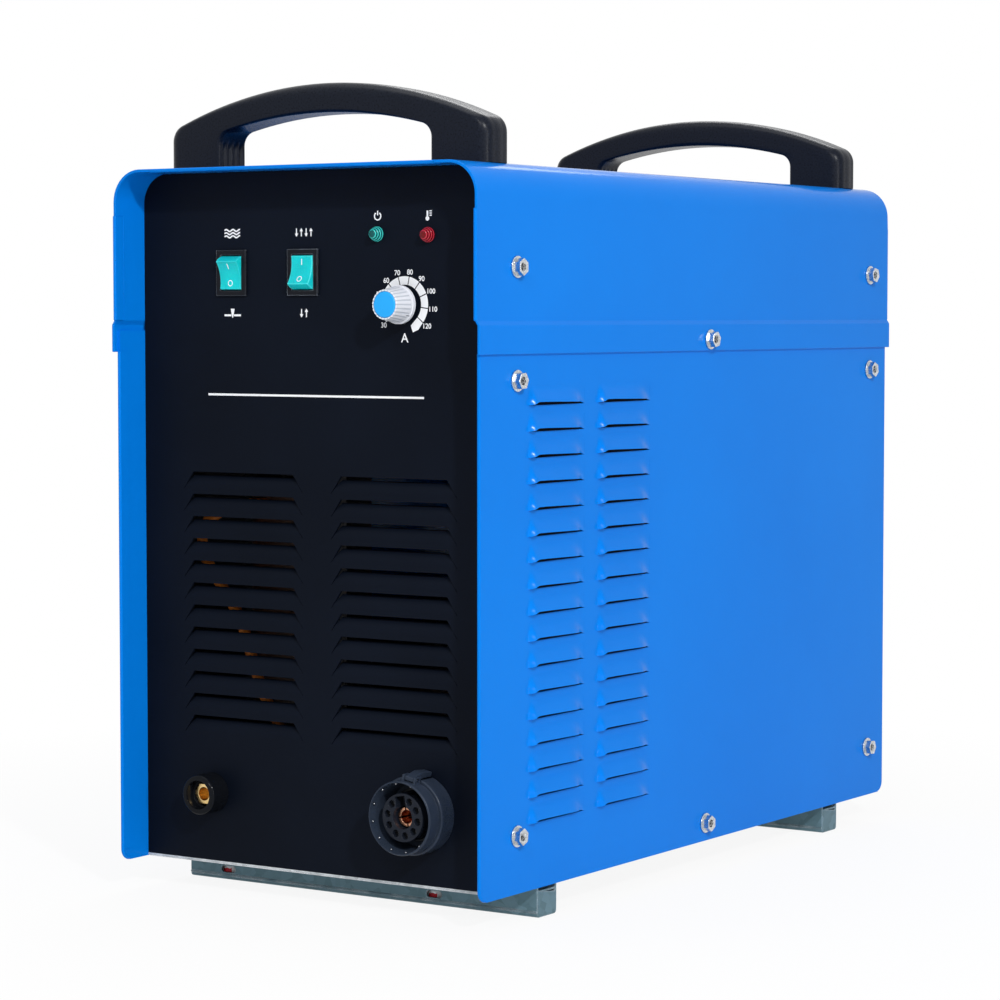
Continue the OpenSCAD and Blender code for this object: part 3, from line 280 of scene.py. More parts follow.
def rounded_copy(node, finish, width, segments=2, reshape=join_flat_faces, hold_back=False):
    """A copy of a solid with its sharp edges rounded off, shown in the solid's place. Reshape is called
    with the copy's mesh before that, to change it. Where faces are narrower than the rounding, hold_back
    makes it narrower all over."""
    same_point_within, sharp_from = 2e-6, math.radians(30)
    build = bmesh.new()
    build.from_mesh(solids[node].data)
    bmesh.ops.remove_doubles(build, verts=build.verts, dist=same_point_within)
    reshape(build)
    mesh = mesh_from(build, node + "_finished", smooth=True)
    # What is left of the solid's own shading would hide the rounding
    for layer in ("custom_normal", "sharp_edge", "sharp_face"):
        if layer in mesh.attributes:
            mesh.attributes.remove(mesh.attributes[layer])
    mesh.materials.clear()
    mesh.materials.append(finish)
    mesh.polygons.foreach_set("material_index", [0] * len(mesh.polygons))
    piece = bpy.data.objects.new(node + "_finished", mesh)
    scene.collection.objects.link(piece)
    rounding = piece.modifiers.new("Rounded_edges", "BEVEL")
    rounding.width = width
    rounding.segments = segments
    rounding.limit_method = "ANGLE"
    rounding.angle_limit = sharp_from
    rounding.use_clamp_overlap = hold_back
    shading = piece.modifiers.new("Flat_faces_flat", "WEIGHTED_NORMAL")
    shading.keep_sharp = True
    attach(piece, solids[node]["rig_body"])
    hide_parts(node)
    return piece


galvanised = make_finish("Galvanised_sheet", spangle, (0.075, 0.14, 0.165), (0.15, 0.25, 0.3),
                         (0.36, 0.5), 2e-5, Metallic=0.35, Specular_IOR_Level=0.15)
# The pale colour along the galvanised edges is a painted highlight
brighten_edges(galvanised, 0.0012, (0.75, 0.8, 0.85))
tray_zinc = make_finish("Bare_tray_zinc", spangle, (0.22, 0.25, 0.27), (0.62, 0.66, 0.68),
                        (0.4, 0.55), 3e-5, {"Crystals per metre": 260.0, "Mottle": 0.55},
                        Metallic=0.2, Specular_IOR_Level=0.15)
# The near-white colour along the tray's edges is a painted highlight
brighten_edges(tray_zinc, 0.0022, (0.95, 0.97, 1.0))
rounded_copy("base_tray", tray_zinc, 0.0004)
dress("inner_deck", galvanised)


# Feet: two channels of the same galvanised sheet across the bottom, with a slot over each bolt.
# Zinc-plated bolts hold them to the tray; each was marked with red paint when it was tightened.
def zinc_plate(name, dark, light):
    """Bright plating with a fine crystal grain."""
    return make_finish(name, spangle, dark, light, (0.2, 0.34), 6e-6,
                       {"Crystals per metre": 900.0, "Mottle": 0.6}, Metallic=1.0)


for foot in ("front_foot", "rear_foot"):
    rounded_copy(foot, galvanised, 0.0005)
bolt_zinc = zinc_plate("Bolt_zinc", (0.36, 0.38, 0.4), (0.82, 0.84, 0.86))
rounded_copy("foot_bolts", bolt_zinc, 0.00025)

mark_red = make_finish("Red_marking_paint", spangle, (0.5, 0.01, 0.02), (0.75, 0.03, 0.05),
                       (0.25, 0.4), 3e-5, {"Crystals per metre": 500.0}, Specular_IOR_Level=0.2)
# The bolts' places in metres; their sleeve nuts in mm, with the red paint on a stretch of each
bolt_xs, bolt_ys, sleeve_shift = (-0.112, 0.063), (-0.203, 0.203), 0.003
sleeve_r, sleeve_low_z, sleeve_h = 9.0, 4.2, 5.6
paint_lift, paint_from, paint_to = 0.15, 248, 292


def ring_mesh(name, radius, low_line, high_line, start, end, steps):
    """A standing band round Z (mm), between a lower and an upper edge that are functions of the turn."""
    low, high = [], []
    build = bmesh.new()
    for i in range(steps + 1):
        angle = math.radians(start + (end - start) * i / steps)
        x, y = radius * math.cos(angle) / 1000, radius * math.sin(angle) / 1000
        low.append(build.verts.new((x, y, low_line(angle) / 1000)))
        high.append(build.verts.new((x, y, high_line(angle) / 1000)))
    for i in range(steps):
        build.faces.new((low[i], low[i + 1], high[i + 1], high[i]))
    return mesh_from(build, name, smooth=True)


def paint_low(turn):
    """The lower edge of the red paint, as it was brushed on."""
    return 0.3 + 0.4 * math.sin(9 * turn)


def paint_high(turn):
    """The upper edge of the red paint."""
    return 3.9 + 0.7 * math.sin(5 * turn) + 0.5 * math.sin(11 * turn)


def put_piece(name, mesh, finish, body, place):
    """Puts a new mesh in place, riding on a body, with its material."""
    mesh.materials.clear()
    mesh.materials.append(finish)
    piece = bpy.data.objects.new(name, mesh)
    piece.matrix_world = place
    scene.collection.objects.link(piece)
    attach(piece, body)
    return piece


sleeve_zinc = make_finish("Sleeve_nut_zinc", spangle, (0.6, 0.62, 0.64), (0.92, 0.93, 0.95),
                          (0.3, 0.45), 6e-6, {"Crystals per metre": 500.0}, Metallic=0.1,
                          Specular_IOR_Level=0.15)
for x in bolt_xs:
    for y in bolt_ys:
        spot = "%s_%s" % ("left" if x < 0 else "right", "front" if y < 0 else "rear")
        place = Matrix.Translation((x - sleeve_shift, y, sleeve_low_z / 1000))
        nut = ring_mesh("foot_nut_" + spot, sleeve_r, lambda turn: 0, lambda turn: sleeve_h, 0, 360, 48)
        put_piece("foot_nut_" + spot, nut, sleeve_zinc, "cabinet", place)
        paint = ring_mesh("foot_nut_paint_" + spot, sleeve_r + paint_lift, paint_low, paint_high,
                          paint_from, paint_to, 24)
        put_piece("foot_nut_paint_" + spot, paint, mark_red, "cabinet", place)


# Front panel: a steel sheet with fine black texture paint, set back inside the cover. Two columns of
# flaps are cut on three sides and bent inwards for the air. It is printed in white.
grain, grain_in, grain_out = effect_group(
    "Fine_grain", {"Grains per metre": 1500.0, "Clouds per metre": 9.0, "Grain share": 0.4},
    ["Tone", "Height"])
grain_place = add_node(grain, "TexCoord").outputs["Object"]
grains = add_node(grain, "TexNoise", {"Vector": grain_place, "Scale": grain_in.outputs["Grains per metre"],
                                      "Detail": 2.0, "Roughness": 0.6})
clouds = add_node(grain, "TexNoise", {"Vector": grain_place, "Scale": grain_in.outputs["Clouds per metre"],
                                      "Detail": 4.0})
grain_mix = mix_values(grain, grain_in.outputs["Grain share"], clouds.outputs[0], grains.outputs[0])
grain_tone = add_node(grain, "MapRange", {"Value": grain_mix, "From Min": 0.3, "From Max": 0.7})
grain.links.new(grain_tone.outputs[0], grain_out.inputs["Tone"])
grain.links.new(grains.outputs[0], grain_out.inputs["Height"])

panel_black = make_finish("Black_texture_paint", grain, (0.002, 0.0035, 0.0075), (0.0045, 0.007, 0.014),
                          (0.42, 0.6), 1.5e-5, Specular_IOR_Level=0.05)
rounded_copy("front_panel", panel_black, 0.0002, segments=1)

panel_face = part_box("front_panel")[0].y
ink = make_finish("White_print", grain, (0.88, 0.89, 0.91), (0.96, 0.97, 0.98), (0.4, 0.55), 4e-6,
                  {"Grains per metre": 4000.0}, Specular_IOR_Level=0.2)
ink_t, ink_lift, ink_sink = 5e-5, 2e-7, 2e-5


def printed_mesh(name, shapes, thickness, lift):
    """Flat shapes in X and Z (mm), each a list of corners, as thin raised ink in front of Y = 0. By the
    lift, each shape is thicker than the one before, so that shapes that cross don't lie in one plane."""
    build = bmesh.new()
    for count, corners in enumerate(shapes):
        top = -(thickness + lift * count)
        front = [build.verts.new((x / 1000, top, z / 1000)) for x, z in corners]
        back = [build.verts.new((x / 1000, ink_sink, z / 1000)) for x, z in corners]
        build.faces.new(front)
        build.faces.new(back[::-1])
        for i in range(len(corners)):
            j = (i + 1) % len(corners)
            build.faces.new((front[j], front[i], back[i], back[j]))
    bmesh.ops.recalc_face_normals(build, faces=build.faces)
    return mesh_from(build, name)


def stroke(points, width):
    """The outline of a line of even width through points, with mitred corners that aren't too long."""
    mitre_limit = 0.4
    left, right = [], []
    for i, point in enumerate(points):
        here = Vector(point)
        ahead = Vector(points[min(i + 1, len(points) - 1)]) - here
        behind = here - Vector(points[max(i - 1, 0)])
        ahead = (ahead if ahead.length else behind).normalized()
        behind = (behind if behind.length else ahead).normalized()
        along = (ahead + behind).normalized()
        across = Vector((-along.y, along.x)) * (width / 2 / max(mitre_limit, along.dot(ahead)))
        left.append(tuple(here + across))
        right.append(tuple(here - across))
    return left + right[::-1]


def arc(middle, radius, start, end, steps):
    """Points along an arc between two turns, in degrees."""
    turns = [math.radians(start + (end - start) / steps * i) for i in range(steps + 1)]
    return [(middle[0] + radius * math.cos(turn), middle[1] + radius * math.sin(turn)) for turn in turns]


def arrow(x, up):
    """A short upright arrow: its stem and its head."""
    foot, neck, head_low, tip, head_half, stem_w = 2.7, 0.9, 0.7, 2.9, 1.45, 0.8
    way = 1 if up else -1
    stem = stroke([(x, -foot * way), (x, neck * way)], stem_w)
    head = [(x - head_half, head_low * way), (x + head_half, head_low * way), (x, tip * way)]
    return [stem, head]


def moved(shapes, x, z):
    """Shapes drawn about their own middle, put in their place on the panel."""
    return [[(px + x, pz + z) for px, pz in corners] for corners in shapes]


def segments_of(points, width):
    """A bent stroke in single four-sided lengths, so that no outline folds over itself."""
    outline = stroke(points, width)
    count = len(points)
    return [[outline[i], outline[i + 1], outline[2 * count - 2 - i], outline[2 * count - 1 - i]]
            for i in range(count - 1)]


# Signs for gas flow, cutting, four and two steps, power and heat, and a rule line, in mm
wave_half, wave_step, wave_h, wave_turn, wave_gap = 6.6, 0.6, 0.65, 0.6555, 2.1
waves = [[(-wave_half + wave_step * i, row * wave_gap + wave_h * math.sin(wave_turn * i))
          for i in range(23)] for row in (-1, 0, 1)]
flow_sign = [part for wave in waves for part in segments_of(wave, 1.0)]
cut_sign = [stroke([(-7, -1.5), (-1.1, -1.5)], 1.3), stroke([(1.1, -1.5), (7, -1.5)], 1.3),
            [(-1.7, 2.9), (1.7, 2.9), (0.3, -3.2), (-0.3, -3.2)]]
arrow_gap = 4.0
four_step_sign = [part for i in range(4) for part in arrow(arrow_gap * (i - 1.5), i % 2 == 1)]
two_step_sign = [part for i in range(2) for part in arrow(arrow_gap * (i - 0.5), i % 2 == 1)]
power_sign = segments_of(arc((0, -0.3), 2.5, 125, 415, 24), 0.85) + [stroke([(0, 0.2), (0, 3.2)], 0.85)]
heat_sign = [arc((-0.9, -1.9), 1.45, 0, 345, 23), stroke([(-0.9, -1.2), (-0.9, 3.1)], 1.35)]
heat_sign += [stroke([(0.7, z), (2.5, z)], 0.7) for z in (0.1, 1.5, 2.9)]
rule_from_x, rule_to_x, rule_z, rule_w = -91, 87, 342.4, 1.4
rule_line = [stroke([(rule_from_x, rule_z), (rule_to_x, rule_z)], rule_w)]
gas_sign_x, step_sign_x, over_switch_z, under_switch_z = -69.8, -9.8, 451, 397.5
power_sign_at, heat_sign_at = (50.4, 461), (90.8, 460.5)
panel_print = (rule_line + moved(flow_sign, gas_sign_x, over_switch_z)
               + moved(cut_sign, gas_sign_x, under_switch_z)
               + moved(four_step_sign, step_sign_x, over_switch_z)
               + moved(two_step_sign, step_sign_x, under_switch_z)
               + moved(power_sign, *power_sign_at) + moved(heat_sign, *heat_sign_at))
panel_front = Matrix.Translation((0, panel_face, 0))
put_piece("panel_print", printed_mesh("panel_print", panel_print, ink_t, ink_lift), ink, "cabinet",
          panel_front)


# Rear panel: the same sheet and paint at the other end, pierced for the fan and the connections.
# It stands between the cover's folded edges like the front one.
rounded_copy("rear_panel", panel_black, 0.0003, segments=1)


# Cover and side panels: steel sheet in glossy blue powder paint, which flows a little in the oven.
# The cover is one bent sheet with folded hems that laps over the sides, and the sides' louvres are
# pressed outwards.
flow, flow_in, flow_out = effect_group(
    "Paint_flow", {"Ripples per metre": 420.0, "Clouds per metre": 5.0}, ["Tone", "Height"])
flow_place = add_node(flow, "TexCoord").outputs["Object"]
ripples = add_node(flow, "TexNoise", {"Vector": flow_place, "Scale": flow_in.outputs["Ripples per metre"],
                                      "Detail": 1.5})
flow_clouds = add_node(flow, "TexNoise", {"Vector": flow_place, "Scale": flow_in.outputs["Clouds per metre"],
                                          "Detail": 5.0, "Roughness": 0.55})
flow_tone = add_node(flow, "MapRange", {"Value": flow_clouds.outputs[0], "From Min": 0.3, "From Max": 0.7})
flow.links.new(flow_tone.outputs[0], flow_out.inputs["Tone"])
flow.links.new(ripples.outputs[0], flow_out.inputs["Height"])

cover_blue = make_finish("Blue_powder_paint", flow, (0.0005, 0.185, 0.7), (0.0015, 0.205, 0.75),
                         (0.13, 0.17), 4e-6, Specular_IOR_Level=0.05)
rounded_copy("top_cover", cover_blue, 0.0005)

# The louvres in mm: their size and places, how the skin and its lip swell and fall off, and the sheet
louvre_len, louvre_h, louvre_out, louvre_gap = 71.5, 13.0, 4.5, 2.2
louvre_rows, louvre_pitch, louvre_top_z = 17, 17.06, 337.7
louvre_middles = (-196.25, -110.5)
swell_len, sink_len, swell_slant, sink_slant = 4.5, 16, 0.2, 0.6
lip_swell_len, lip_sink_len = 9, 8
fall_from, fall_len, skin_fall, lip_fall = 18, 50, 0.3, 0.45
sheet_face, face_slack, skin_sink, edge_t, edge_h = 148.5, 0.02, 0.03, 1.1, 2.5


def ease(value):
    """Goes smoothly from 0 to 1 as the value does."""
    value = max(0.0, min(1.0, value))
    return value * value * (3 - 2 * value)


def fall_off(along, share):
    """What is left of a height as a louvre falls off towards its rear end."""
    return 1 - share * max(0.0, (along - fall_from) / fall_len)


def louvre_rise(along, up):
    """How far a louvre stands out, in mm: it swells quickly at its front end, sinks slowly towards the
    rear one, and runs out into the sheet at its upper edge."""
    front = ease((along - swell_slant * up) / swell_len)
    rear = ease((louvre_len - along - sink_slant * up) / sink_len)
    section = 0.5 + 0.5 * math.cos(math.pi * up / louvre_h)
    return louvre_out * front * rear * fall_off(along, skin_fall) * section


def louvre_lip(along):
    """How far the free edge of a louvre lies above the lower edge of its hole, in mm."""
    front = ease(along / lip_swell_len)
    rear = ease((louvre_len - along) / lip_sink_len)
    return louvre_gap * front * rear * fall_off(along, lip_fall)


# Places along a louvre, close together at its ends, and shares of its height
along_steps = [0, 1, 2, 3.2, 4.5, 6, 7.5, 9, 11, 14, 18, 23, 29, 35, 41, 47, 52, 56, 59, 62,
               64.5, 66.5, 68.5, 70, 71.5]
up_steps = [i / 8 for i in range(9)]


def add_louvre(build, side, front_y, low_z):
    """One pressed louvre: its outer skin, and the edge of the sheet turned in at its lip."""
    def corner(along, up, inwards=0.0):
        out = sheet_face - skin_sink + louvre_rise(along, up) - inwards
        return build.verts.new((side * out / 1000, (front_y + along) / 1000, (low_z + up) / 1000))

    rows = []
    for along in along_steps:
        lip = louvre_lip(along)
        skin = [corner(along, lip + (louvre_h - lip) * share) for share in up_steps]
        rows.append([corner(along, lip + edge_h, edge_t), corner(along, lip, edge_t)] + skin)
    for row, following in zip(rows, rows[1:]):
        for i in range(len(row) - 1):
            face = [row[i], following[i], following[i + 1], row[i + 1]]
            build.faces.new(face if side > 0 else face[::-1])


def press_louvres(build, side):
    """Takes the solid's plain louvres off the sheet, and puts drawn ones in their place."""
    reach = (sheet_face + face_slack) / 1000
    plain = [face for face in build.faces if any(abs(v.co.x) > reach for v in face.verts)]
    bmesh.ops.delete(build, geom=plain, context="FACES")
    join_flat_faces(build)
    for middle in louvre_middles:
        for row in range(louvre_rows):
            add_louvre(build, side, middle - louvre_len / 2, louvre_top_z - row * louvre_pitch)


for panel, side in (("left_side_panel", -1), ("right_side_panel", 1)):
    rounded_copy(panel, cover_blue, 0.0004, hold_back=True,
                 reshape=lambda build, side=side: press_louvres(build, side))

# A black sheet lies against the inside of each side panel, behind its louvres, as painted shade: it makes
# the slots show only black
louvre_shade_black = make_finish("Louvre_shade_sheet", grain, (0.003, 0.003, 0.004), (0.012, 0.012, 0.014), (0.7, 0.9), 1e-4,
                        {"Grains per metre": 2500.0, "Grain share": 0.9}, Specular_IOR_Level=0.05)
shade_sheet_out, shade_sheet_t = 0.1464, 0.0004
shade_sheet_front_y, shade_sheet_rear_y, shade_sheet_low_z, shade_sheet_high_z = -0.23, -0.074, 0.06, 0.354


def box_mesh(name, size):
    """A box of a size in metres, about its own middle."""
    build = bmesh.new()
    bmesh.ops.create_cube(build, size=1)
    mesh = mesh_from(build, name)
    mesh.transform(Matrix.Diagonal((*size, 1)))
    return mesh


for name, side in (("left_louvre_shade_sheet", -1), ("right_louvre_shade_sheet", 1)):
    shade_sheet = box_mesh(name, (shade_sheet_t, shade_sheet_rear_y - shade_sheet_front_y, shade_sheet_high_z - shade_sheet_low_z))
    shade_sheet_middle = (side * (shade_sheet_out - shade_sheet_t / 2), (shade_sheet_front_y + shade_sheet_rear_y) / 2, (shade_sheet_low_z + shade_sheet_high_z) / 2)
    put_piece(name, shade_sheet, louvre_shade_black, "cabinet", Matrix.Translation(shade_sheet_middle))


# Cover bolts: zinc-plated hexagon flange bolts through the cover and sides, with nuts behind them.
# The plating is bright, and the flange's face is turned, so it catches the light in a ring.
recess_depth, recess_reach, head_h = 0.00072, 0.0032, 0.004


def loose_parts(build):
    """The vertices of a build, as one set for each of its loose parts."""
    left_over = set(build.verts)
    parts = []
    while left_over:
        part, waiting = set(), [left_over.pop()]
        while waiting:
            vert = waiting.pop()
            part.add(vert)
            for link in vert.link_edges:
                other = link.other_vert(vert)
                if other in left_over:
                    left_over.discard(other)
                    waiting.append(other)
        parts.append(part)
    return parts


def halfway(values):
    """The middle of the range that values cover."""
    return (max(values) + min(values)) / 2


def shallow_recess(build):
    """Lifts the floor of the cross in each bolt head, which is only stamped in."""
    for bolt in loose_parts(build):
        top = max(abs(vert.co.x) for vert in bolt)
        middle_y = halfway([vert.co.y for vert in bolt])
        middle_z = halfway([vert.co.z for vert in bolt])
        for vert in bolt:
            away = math.hypot(vert.co.y - middle_y, vert.co.z - middle_z)
            if away < recess_reach and top - head_h < abs(vert.co.x) < top - recess_depth:
                vert.co.x = math.copysign(top - recess_depth, vert.co.x)
    join_flat_faces(build)


rounded_copy("cover_bolts", bolt_zinc, 0.0003, reshape=shallow_recess)
dress("cover_nuts", bolt_zinc)


# Handles: moulded in black plastic with a fine spark texture, one over each end of the cover.
# Each is a flat arch with round shoulders, and ribs inside its legs; screws hold it from below.
handle_half, handle_rise, crown_r, shoulder_r = 0.131, 0.056, 0.319, 0.012
gap_half, gap_rise, gap_crown_r, gap_corner_r = 0.0865, 0.036, 0.340, 0.010
handle_w, handle_corner_r, inner_corner_r, face_crown = 0.030, 0.009, 0.003, 0.0006
rib_count, rib_depth, rib_steps = 4, 0.0018, 48
rib_top_z, rib_fade, rib_from_x = 0.020, 0.004, 0.08
cover_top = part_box("front_handle")[0].z


def arch_line(half, rise, crown, fillet):
    """Points along an arch in X and Z: a leg, a shoulder, the long crown, a shoulder and a leg."""
    leg_n, fillet_n, crown_n = 6, 10, 48
    middle_z = rise - crown
    fillet_x = half - fillet
    fillet_z = middle_z + math.sqrt((crown - fillet) ** 2 - fillet_x ** 2)
    lean = math.atan2(fillet_x, fillet_z - middle_z)
    left = [(-half, fillet_z * i / leg_n) for i in range(leg_n)]
    for i in range(fillet_n):
        a = math.pi - (math.pi / 2 - lean) * i / fillet_n
        left.append((-fillet_x + fillet * math.cos(a), fillet_z + fillet * math.sin(a)))
    crown_line = []
    for i in range(crown_n + 1):
        a = math.pi / 2 + lean - 2 * lean * i / crown_n
        crown_line.append((crown * math.cos(a), middle_z + crown * math.sin(a)))
    return left + crown_line + [(-x, z) for x, z in left[::-1]]


def quarter_round(middle, radius, start):
    """Points inside a quarter circle that starts at a turn, in degrees."""
    steps = 6
    turns = [math.radians(start + 90 / steps * i) for i in range(1, steps)]
    return [(middle[0] + radius * math.cos(turn), middle[1] + radius * math.sin(turn)) for turn in turns]


def handle_ring(inner, outer):
    """Points round the grip between the two arches: flat faces, round corners and, near the cover, ribs."""
    inner, outer = Vector(inner), Vector(outer)
    across = (outer - inner).normalized()
    half_t = (outer - inner).length / 2
    middle = (inner + outer) / 2
    flat = handle_w / 2 - handle_corner_r
    inner_flat = handle_w / 2 - inner_corner_r
    side_out, side_in = half_t - handle_corner_r, inner_corner_r - half_t
    side_steps = [side_out + (side_in - side_out) * share for share in (0, 0.25, 0.5, 0.75, 1)]
    # The outer face is crowned a little, as a mould's faces are
    spots = [(half_t - face_crown * (y / flat) ** 2, y) for y in (-flat, -flat / 2, 0, flat / 2, flat)]
    spots += quarter_round((side_out, flat), handle_corner_r, 0)
    spots += [(t, handle_w / 2) for t in side_steps]
    spots += quarter_round((side_in, inner_flat), inner_corner_r, 90)
    near_cover = max(0.0, min(1.0, (rib_top_z - inner.y) / rib_fade))
    rib_out = rib_depth * near_cover if abs(inner.x) > rib_from_x else 0.0
    for i in range(rib_steps + 1):
        y = inner_flat - 2 * inner_flat * i / rib_steps
        rib = 0.5 - 0.5 * math.cos(math.pi * rib_count * (y + inner_flat) / inner_flat)
        spots.append((-half_t + rib_out * rib, y))
    spots += quarter_round((side_in, -inner_flat), inner_corner_r, 180)
    spots += [(t, -handle_w / 2) for t in side_steps[::-1]]
    spots += quarter_round((side_out, -flat), handle_corner_r, 270)
    return [(middle.x + across.x * t, y, middle.y + across.y * t) for t, y in spots]


def handle_mesh(name):
    """A handle as one closed skin, ring by ring along its two arches."""
    outer_line = arch_line(handle_half, handle_rise, crown_r, shoulder_r)
    inner_line = arch_line(gap_half, gap_rise, gap_crown_r, gap_corner_r)
    build = bmesh.new()
    rings = [[build.verts.new(p) for p in handle_ring(a, b)] for a, b in zip(inner_line, outer_line)]
    for ring, following in zip(rings, rings[1:]):
        for i in range(len(ring)):
            j = (i + 1) % len(ring)
            build.faces.new((ring[i], ring[j], following[j], following[i]))
    build.faces.new(rings[0][::-1])
    build.faces.new(rings[-1])
    bmesh.ops.recalc_face_normals(build, faces=build.faces)
    mesh = mesh_from(build, name, smooth=True)
    crease_from = math.radians(50)
    mesh.set_sharp_from_angle(angle=crease_from)
    return mesh


handle_plastic = make_finish("Spark_textured_plastic", grain, (0.0015, 0.003, 0.007),
                             (0.009, 0.012, 0.021), (0.24, 0.36), 6e-5,
                             {"Grains per metre": 800.0, "Grain share": 0.8}, Specular_IOR_Level=0.12)
for handle in ("front_handle", "rear_handle"):
    low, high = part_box(handle)
    piece = put_piece(handle + "_finished", handle_mesh(handle), handle_plastic, "cabinet",
                      Matrix.Translation((0, (low.y + high.y) / 2, cover_top)))
    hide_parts(handle)
dress("handle_screws", bolt_zinc)


# Rocker switches: black nylon housings snapped into the panel, each with a clear teal rocker that
# tilts on two pins. The marks are printed in white on the hollow face and move with the rocker.
switch_black = make_finish("Gloss_nylon_black", grain, (0.004, 0.005, 0.008), (0.008, 0.009, 0.013),
                           (0.2, 0.3), 6e-6, Specular_IOR_Level=0.1)
# The grey-blue colour along the housing's edges is a painted highlight
brighten_edges(switch_black, 0.0009, (0.36, 0.41, 0.48), patches=20.0)
rocker_teal = make_finish("Clear_teal", grain, (0.006, 0.55, 0.57), (0.012, 0.7, 0.72), (0.14, 0.22), 3e-6,
                          {"Clouds per metre": 90.0}, Subsurface_Weight=0.25, Subsurface_Scale=0.002,
                          Specular_IOR_Level=0.12)
# The pale teal colour along the rocker's edges is a painted highlight
brighten_edges(rocker_teal, 0.0016, (0.16, 0.97, 0.98), patches=20.0)
pivot_behind_face, pivot_z, rest_tilt = 0.0012, 0.4245, 14
rocker_valley, rocker_grind_r = 4.4, 22.6


def rocker_face(y):
    """How far the rocker's hollow face stands out from its pivot, in mm, at a height on it."""
    return rocker_valley + rocker_grind_r - math.sqrt(rocker_grind_r ** 2 - y ** 2)


def mark_mesh(name, shapes):
    """Marks (mm) laid on the rocker's hollow face as thin raised ink."""
    mesh = printed_mesh(name, shapes, 0, 0)
    for vertex in mesh.vertices:
        height = rocker_face(vertex.co.z * 1000) / 1000
        vertex.co.y = -height - ink_t if vertex.co.y <= 0 else -height + ink_t
    return mesh


line_mark_from, line_mark_step, line_mark_w = 3.9, 0.65, 0.6
ring_mark_z, ring_mark_r, ring_mark_w = -5.8, 1.75, 0.55
line_mark = segments_of([(0, line_mark_from + line_mark_step * i) for i in range(7)], line_mark_w)
ring_mark = segments_of(arc((0, ring_mark_z), ring_mark_r, 0, 360, 28), ring_mark_w)
for side, body, tilt in (("gas", "gas_rocker", rest_tilt), ("step", "step_rocker", -rest_tilt)):
    rounded_copy(side + "_switch_body", switch_black, 0.0005)
    rounded_copy(side + "_switch_rocker", rocker_teal, 0.0003)
    low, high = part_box(side + "_switch_body")
    pivot = Matrix.Translation(((low.x + high.x) / 2, panel_face + pivot_behind_face, pivot_z))
    tilted = pivot @ Matrix.Rotation(math.radians(tilt), 4, "X")
    marks = mark_mesh(side + "_rocker_marks", line_mark + ring_mark)
    put_piece(side + "_rocker_marks", marks, ink, body, tilted)


# Lamps: lens caps moulded in clear coloured plastic with stepped rings, pushed through the panel and
# held by a black ring behind it. A lighter colour along each ring's edge is a painted highlight.
lens_base, lens_stretch, ring_pitch = 0.0012, 1.5, 0.0011
lens_base_y = panel_face - lens_base


def draw_out_lens(build):
    """Makes the rings of a lens longer in front of its base."""
    for vert in build.verts:
        if vert.co.y < lens_base_y:
            vert.co.y = lens_base_y + (vert.co.y - lens_base_y) * lens_stretch
    join_flat_faces(build)


def spot_on_piece(tree):
    """The X, Y and Z of the spot that is shaded."""
    return add_node(tree, "SeparateXYZ", {0: add_node(tree, "TexCoord").outputs["Object"]}).outputs


def lens_finish(name, dark, light, ring_highlight):
    """Clear plastic with a painted highlight along the front edge of each ring."""
    finish = make_finish(name, grain, dark, light, (0.06, 0.12), 3e-6, {"Clouds per metre": 150.0},
                         Specular_IOR_Level=0.2)
    tree = finish.node_tree
    depth = work_out(tree, "SUBTRACT", spot_on_piece(tree)["Y"], lens_base_y)
    phase = work_out(tree, "MULTIPLY", depth, 2 * math.pi / (ring_pitch * lens_stretch))
    wave = work_out(tree, "COSINE", phase)
    ring = add_node(tree, "MapRange", {"Value": wave, "From Min": 0.35, "From Max": 1.0, "To Max": 0.8})
    mix_in(finish, ring.outputs[0], ring_highlight)
    return finish


# The last colour of each lens is its painted ring highlight
lamp_green = lens_finish("Clear_green_lens", (0.0005, 0.06, 0.058), (0.002, 0.13, 0.125),
                         (0.07, 0.75, 0.67))
lamp_red = lens_finish("Clear_red_lens", (0.1, 0.0005, 0.002), (0.22, 0.002, 0.006), (0.72, 0.05, 0.08))
rounded_copy("power_lamp", lamp_green, 0.00018, reshape=draw_out_lens)
rounded_copy("fault_lamp", lamp_red, 0.00018, reshape=draw_out_lens)
dress("lamp_holders", switch_black)


# Current control: a potentiometer behind the panel, a fluted knob of white plastic on its shaft with a
# blue cap pressed in, and a white ring with ticks and numbers printed round it.
dial_x, dial_z = 71.8, 402.9
ring_in, ring_out, tick_half = 13.0, 18.5, 0.35
tick_turns = [219, 190.4, 161.8, 133, 105.8, 78.6, 51.1, 22.5, -7.9, -38.8]
amperes = [30 + 10 * i for i in range(len(tick_turns))]


def dial_block(start, end):
    """One light block of the ring between two ticks, as short four-sided pieces."""
    steps = 10
    inner_cut = math.degrees(tick_half / ring_in)
    outer_cut = math.degrees(tick_half / ring_out)
    inner = arc((dial_x, dial_z), ring_in, start - inner_cut, end + inner_cut, steps)
    outer = arc((dial_x, dial_z), ring_out, start - outer_cut, end + outer_cut, steps)
    return [[inner[i], outer[i], outer[i + 1], inner[i + 1]] for i in range(steps)]


dial_print = [shape for a, b in zip(tick_turns, tick_turns[1:]) for shape in dial_block(a, b)]
# Past the last tick the ring ends in a blunt point. Its corners have a reach and a length past the tick
last_turn = tick_turns[-1] - math.degrees(tick_half / ring_out)
end_from = Vector((math.cos(math.radians(last_turn)), math.sin(math.radians(last_turn))))
end_way = Vector((end_from.y, -end_from.x))
end_corners = [(ring_in, 0), (ring_out, 0), (ring_out + 0.2, 5.6), (ring_out - 2, 9.6), (ring_in - 0.6, 7.4)]
ring_end = [end_from * reach + end_way * length for reach, length in end_corners]
dial_print.append([(dial_x + p.x, dial_z + p.y) for p in ring_end])
put_piece("dial_ring_print", printed_mesh("dial_ring_print", dial_print, ink_t, 0), ink, "cabinet",
          panel_front)

# The figures round the ring and the unit under it, in metres, with the reach of two and three figures in mm
figure_size, unit_size, unit_z = 0.0047, 0.0085, 0.381
figure_t, figure_swell = 4e-5, 7e-5
short_reach, long_reach = 2.9, 3.9


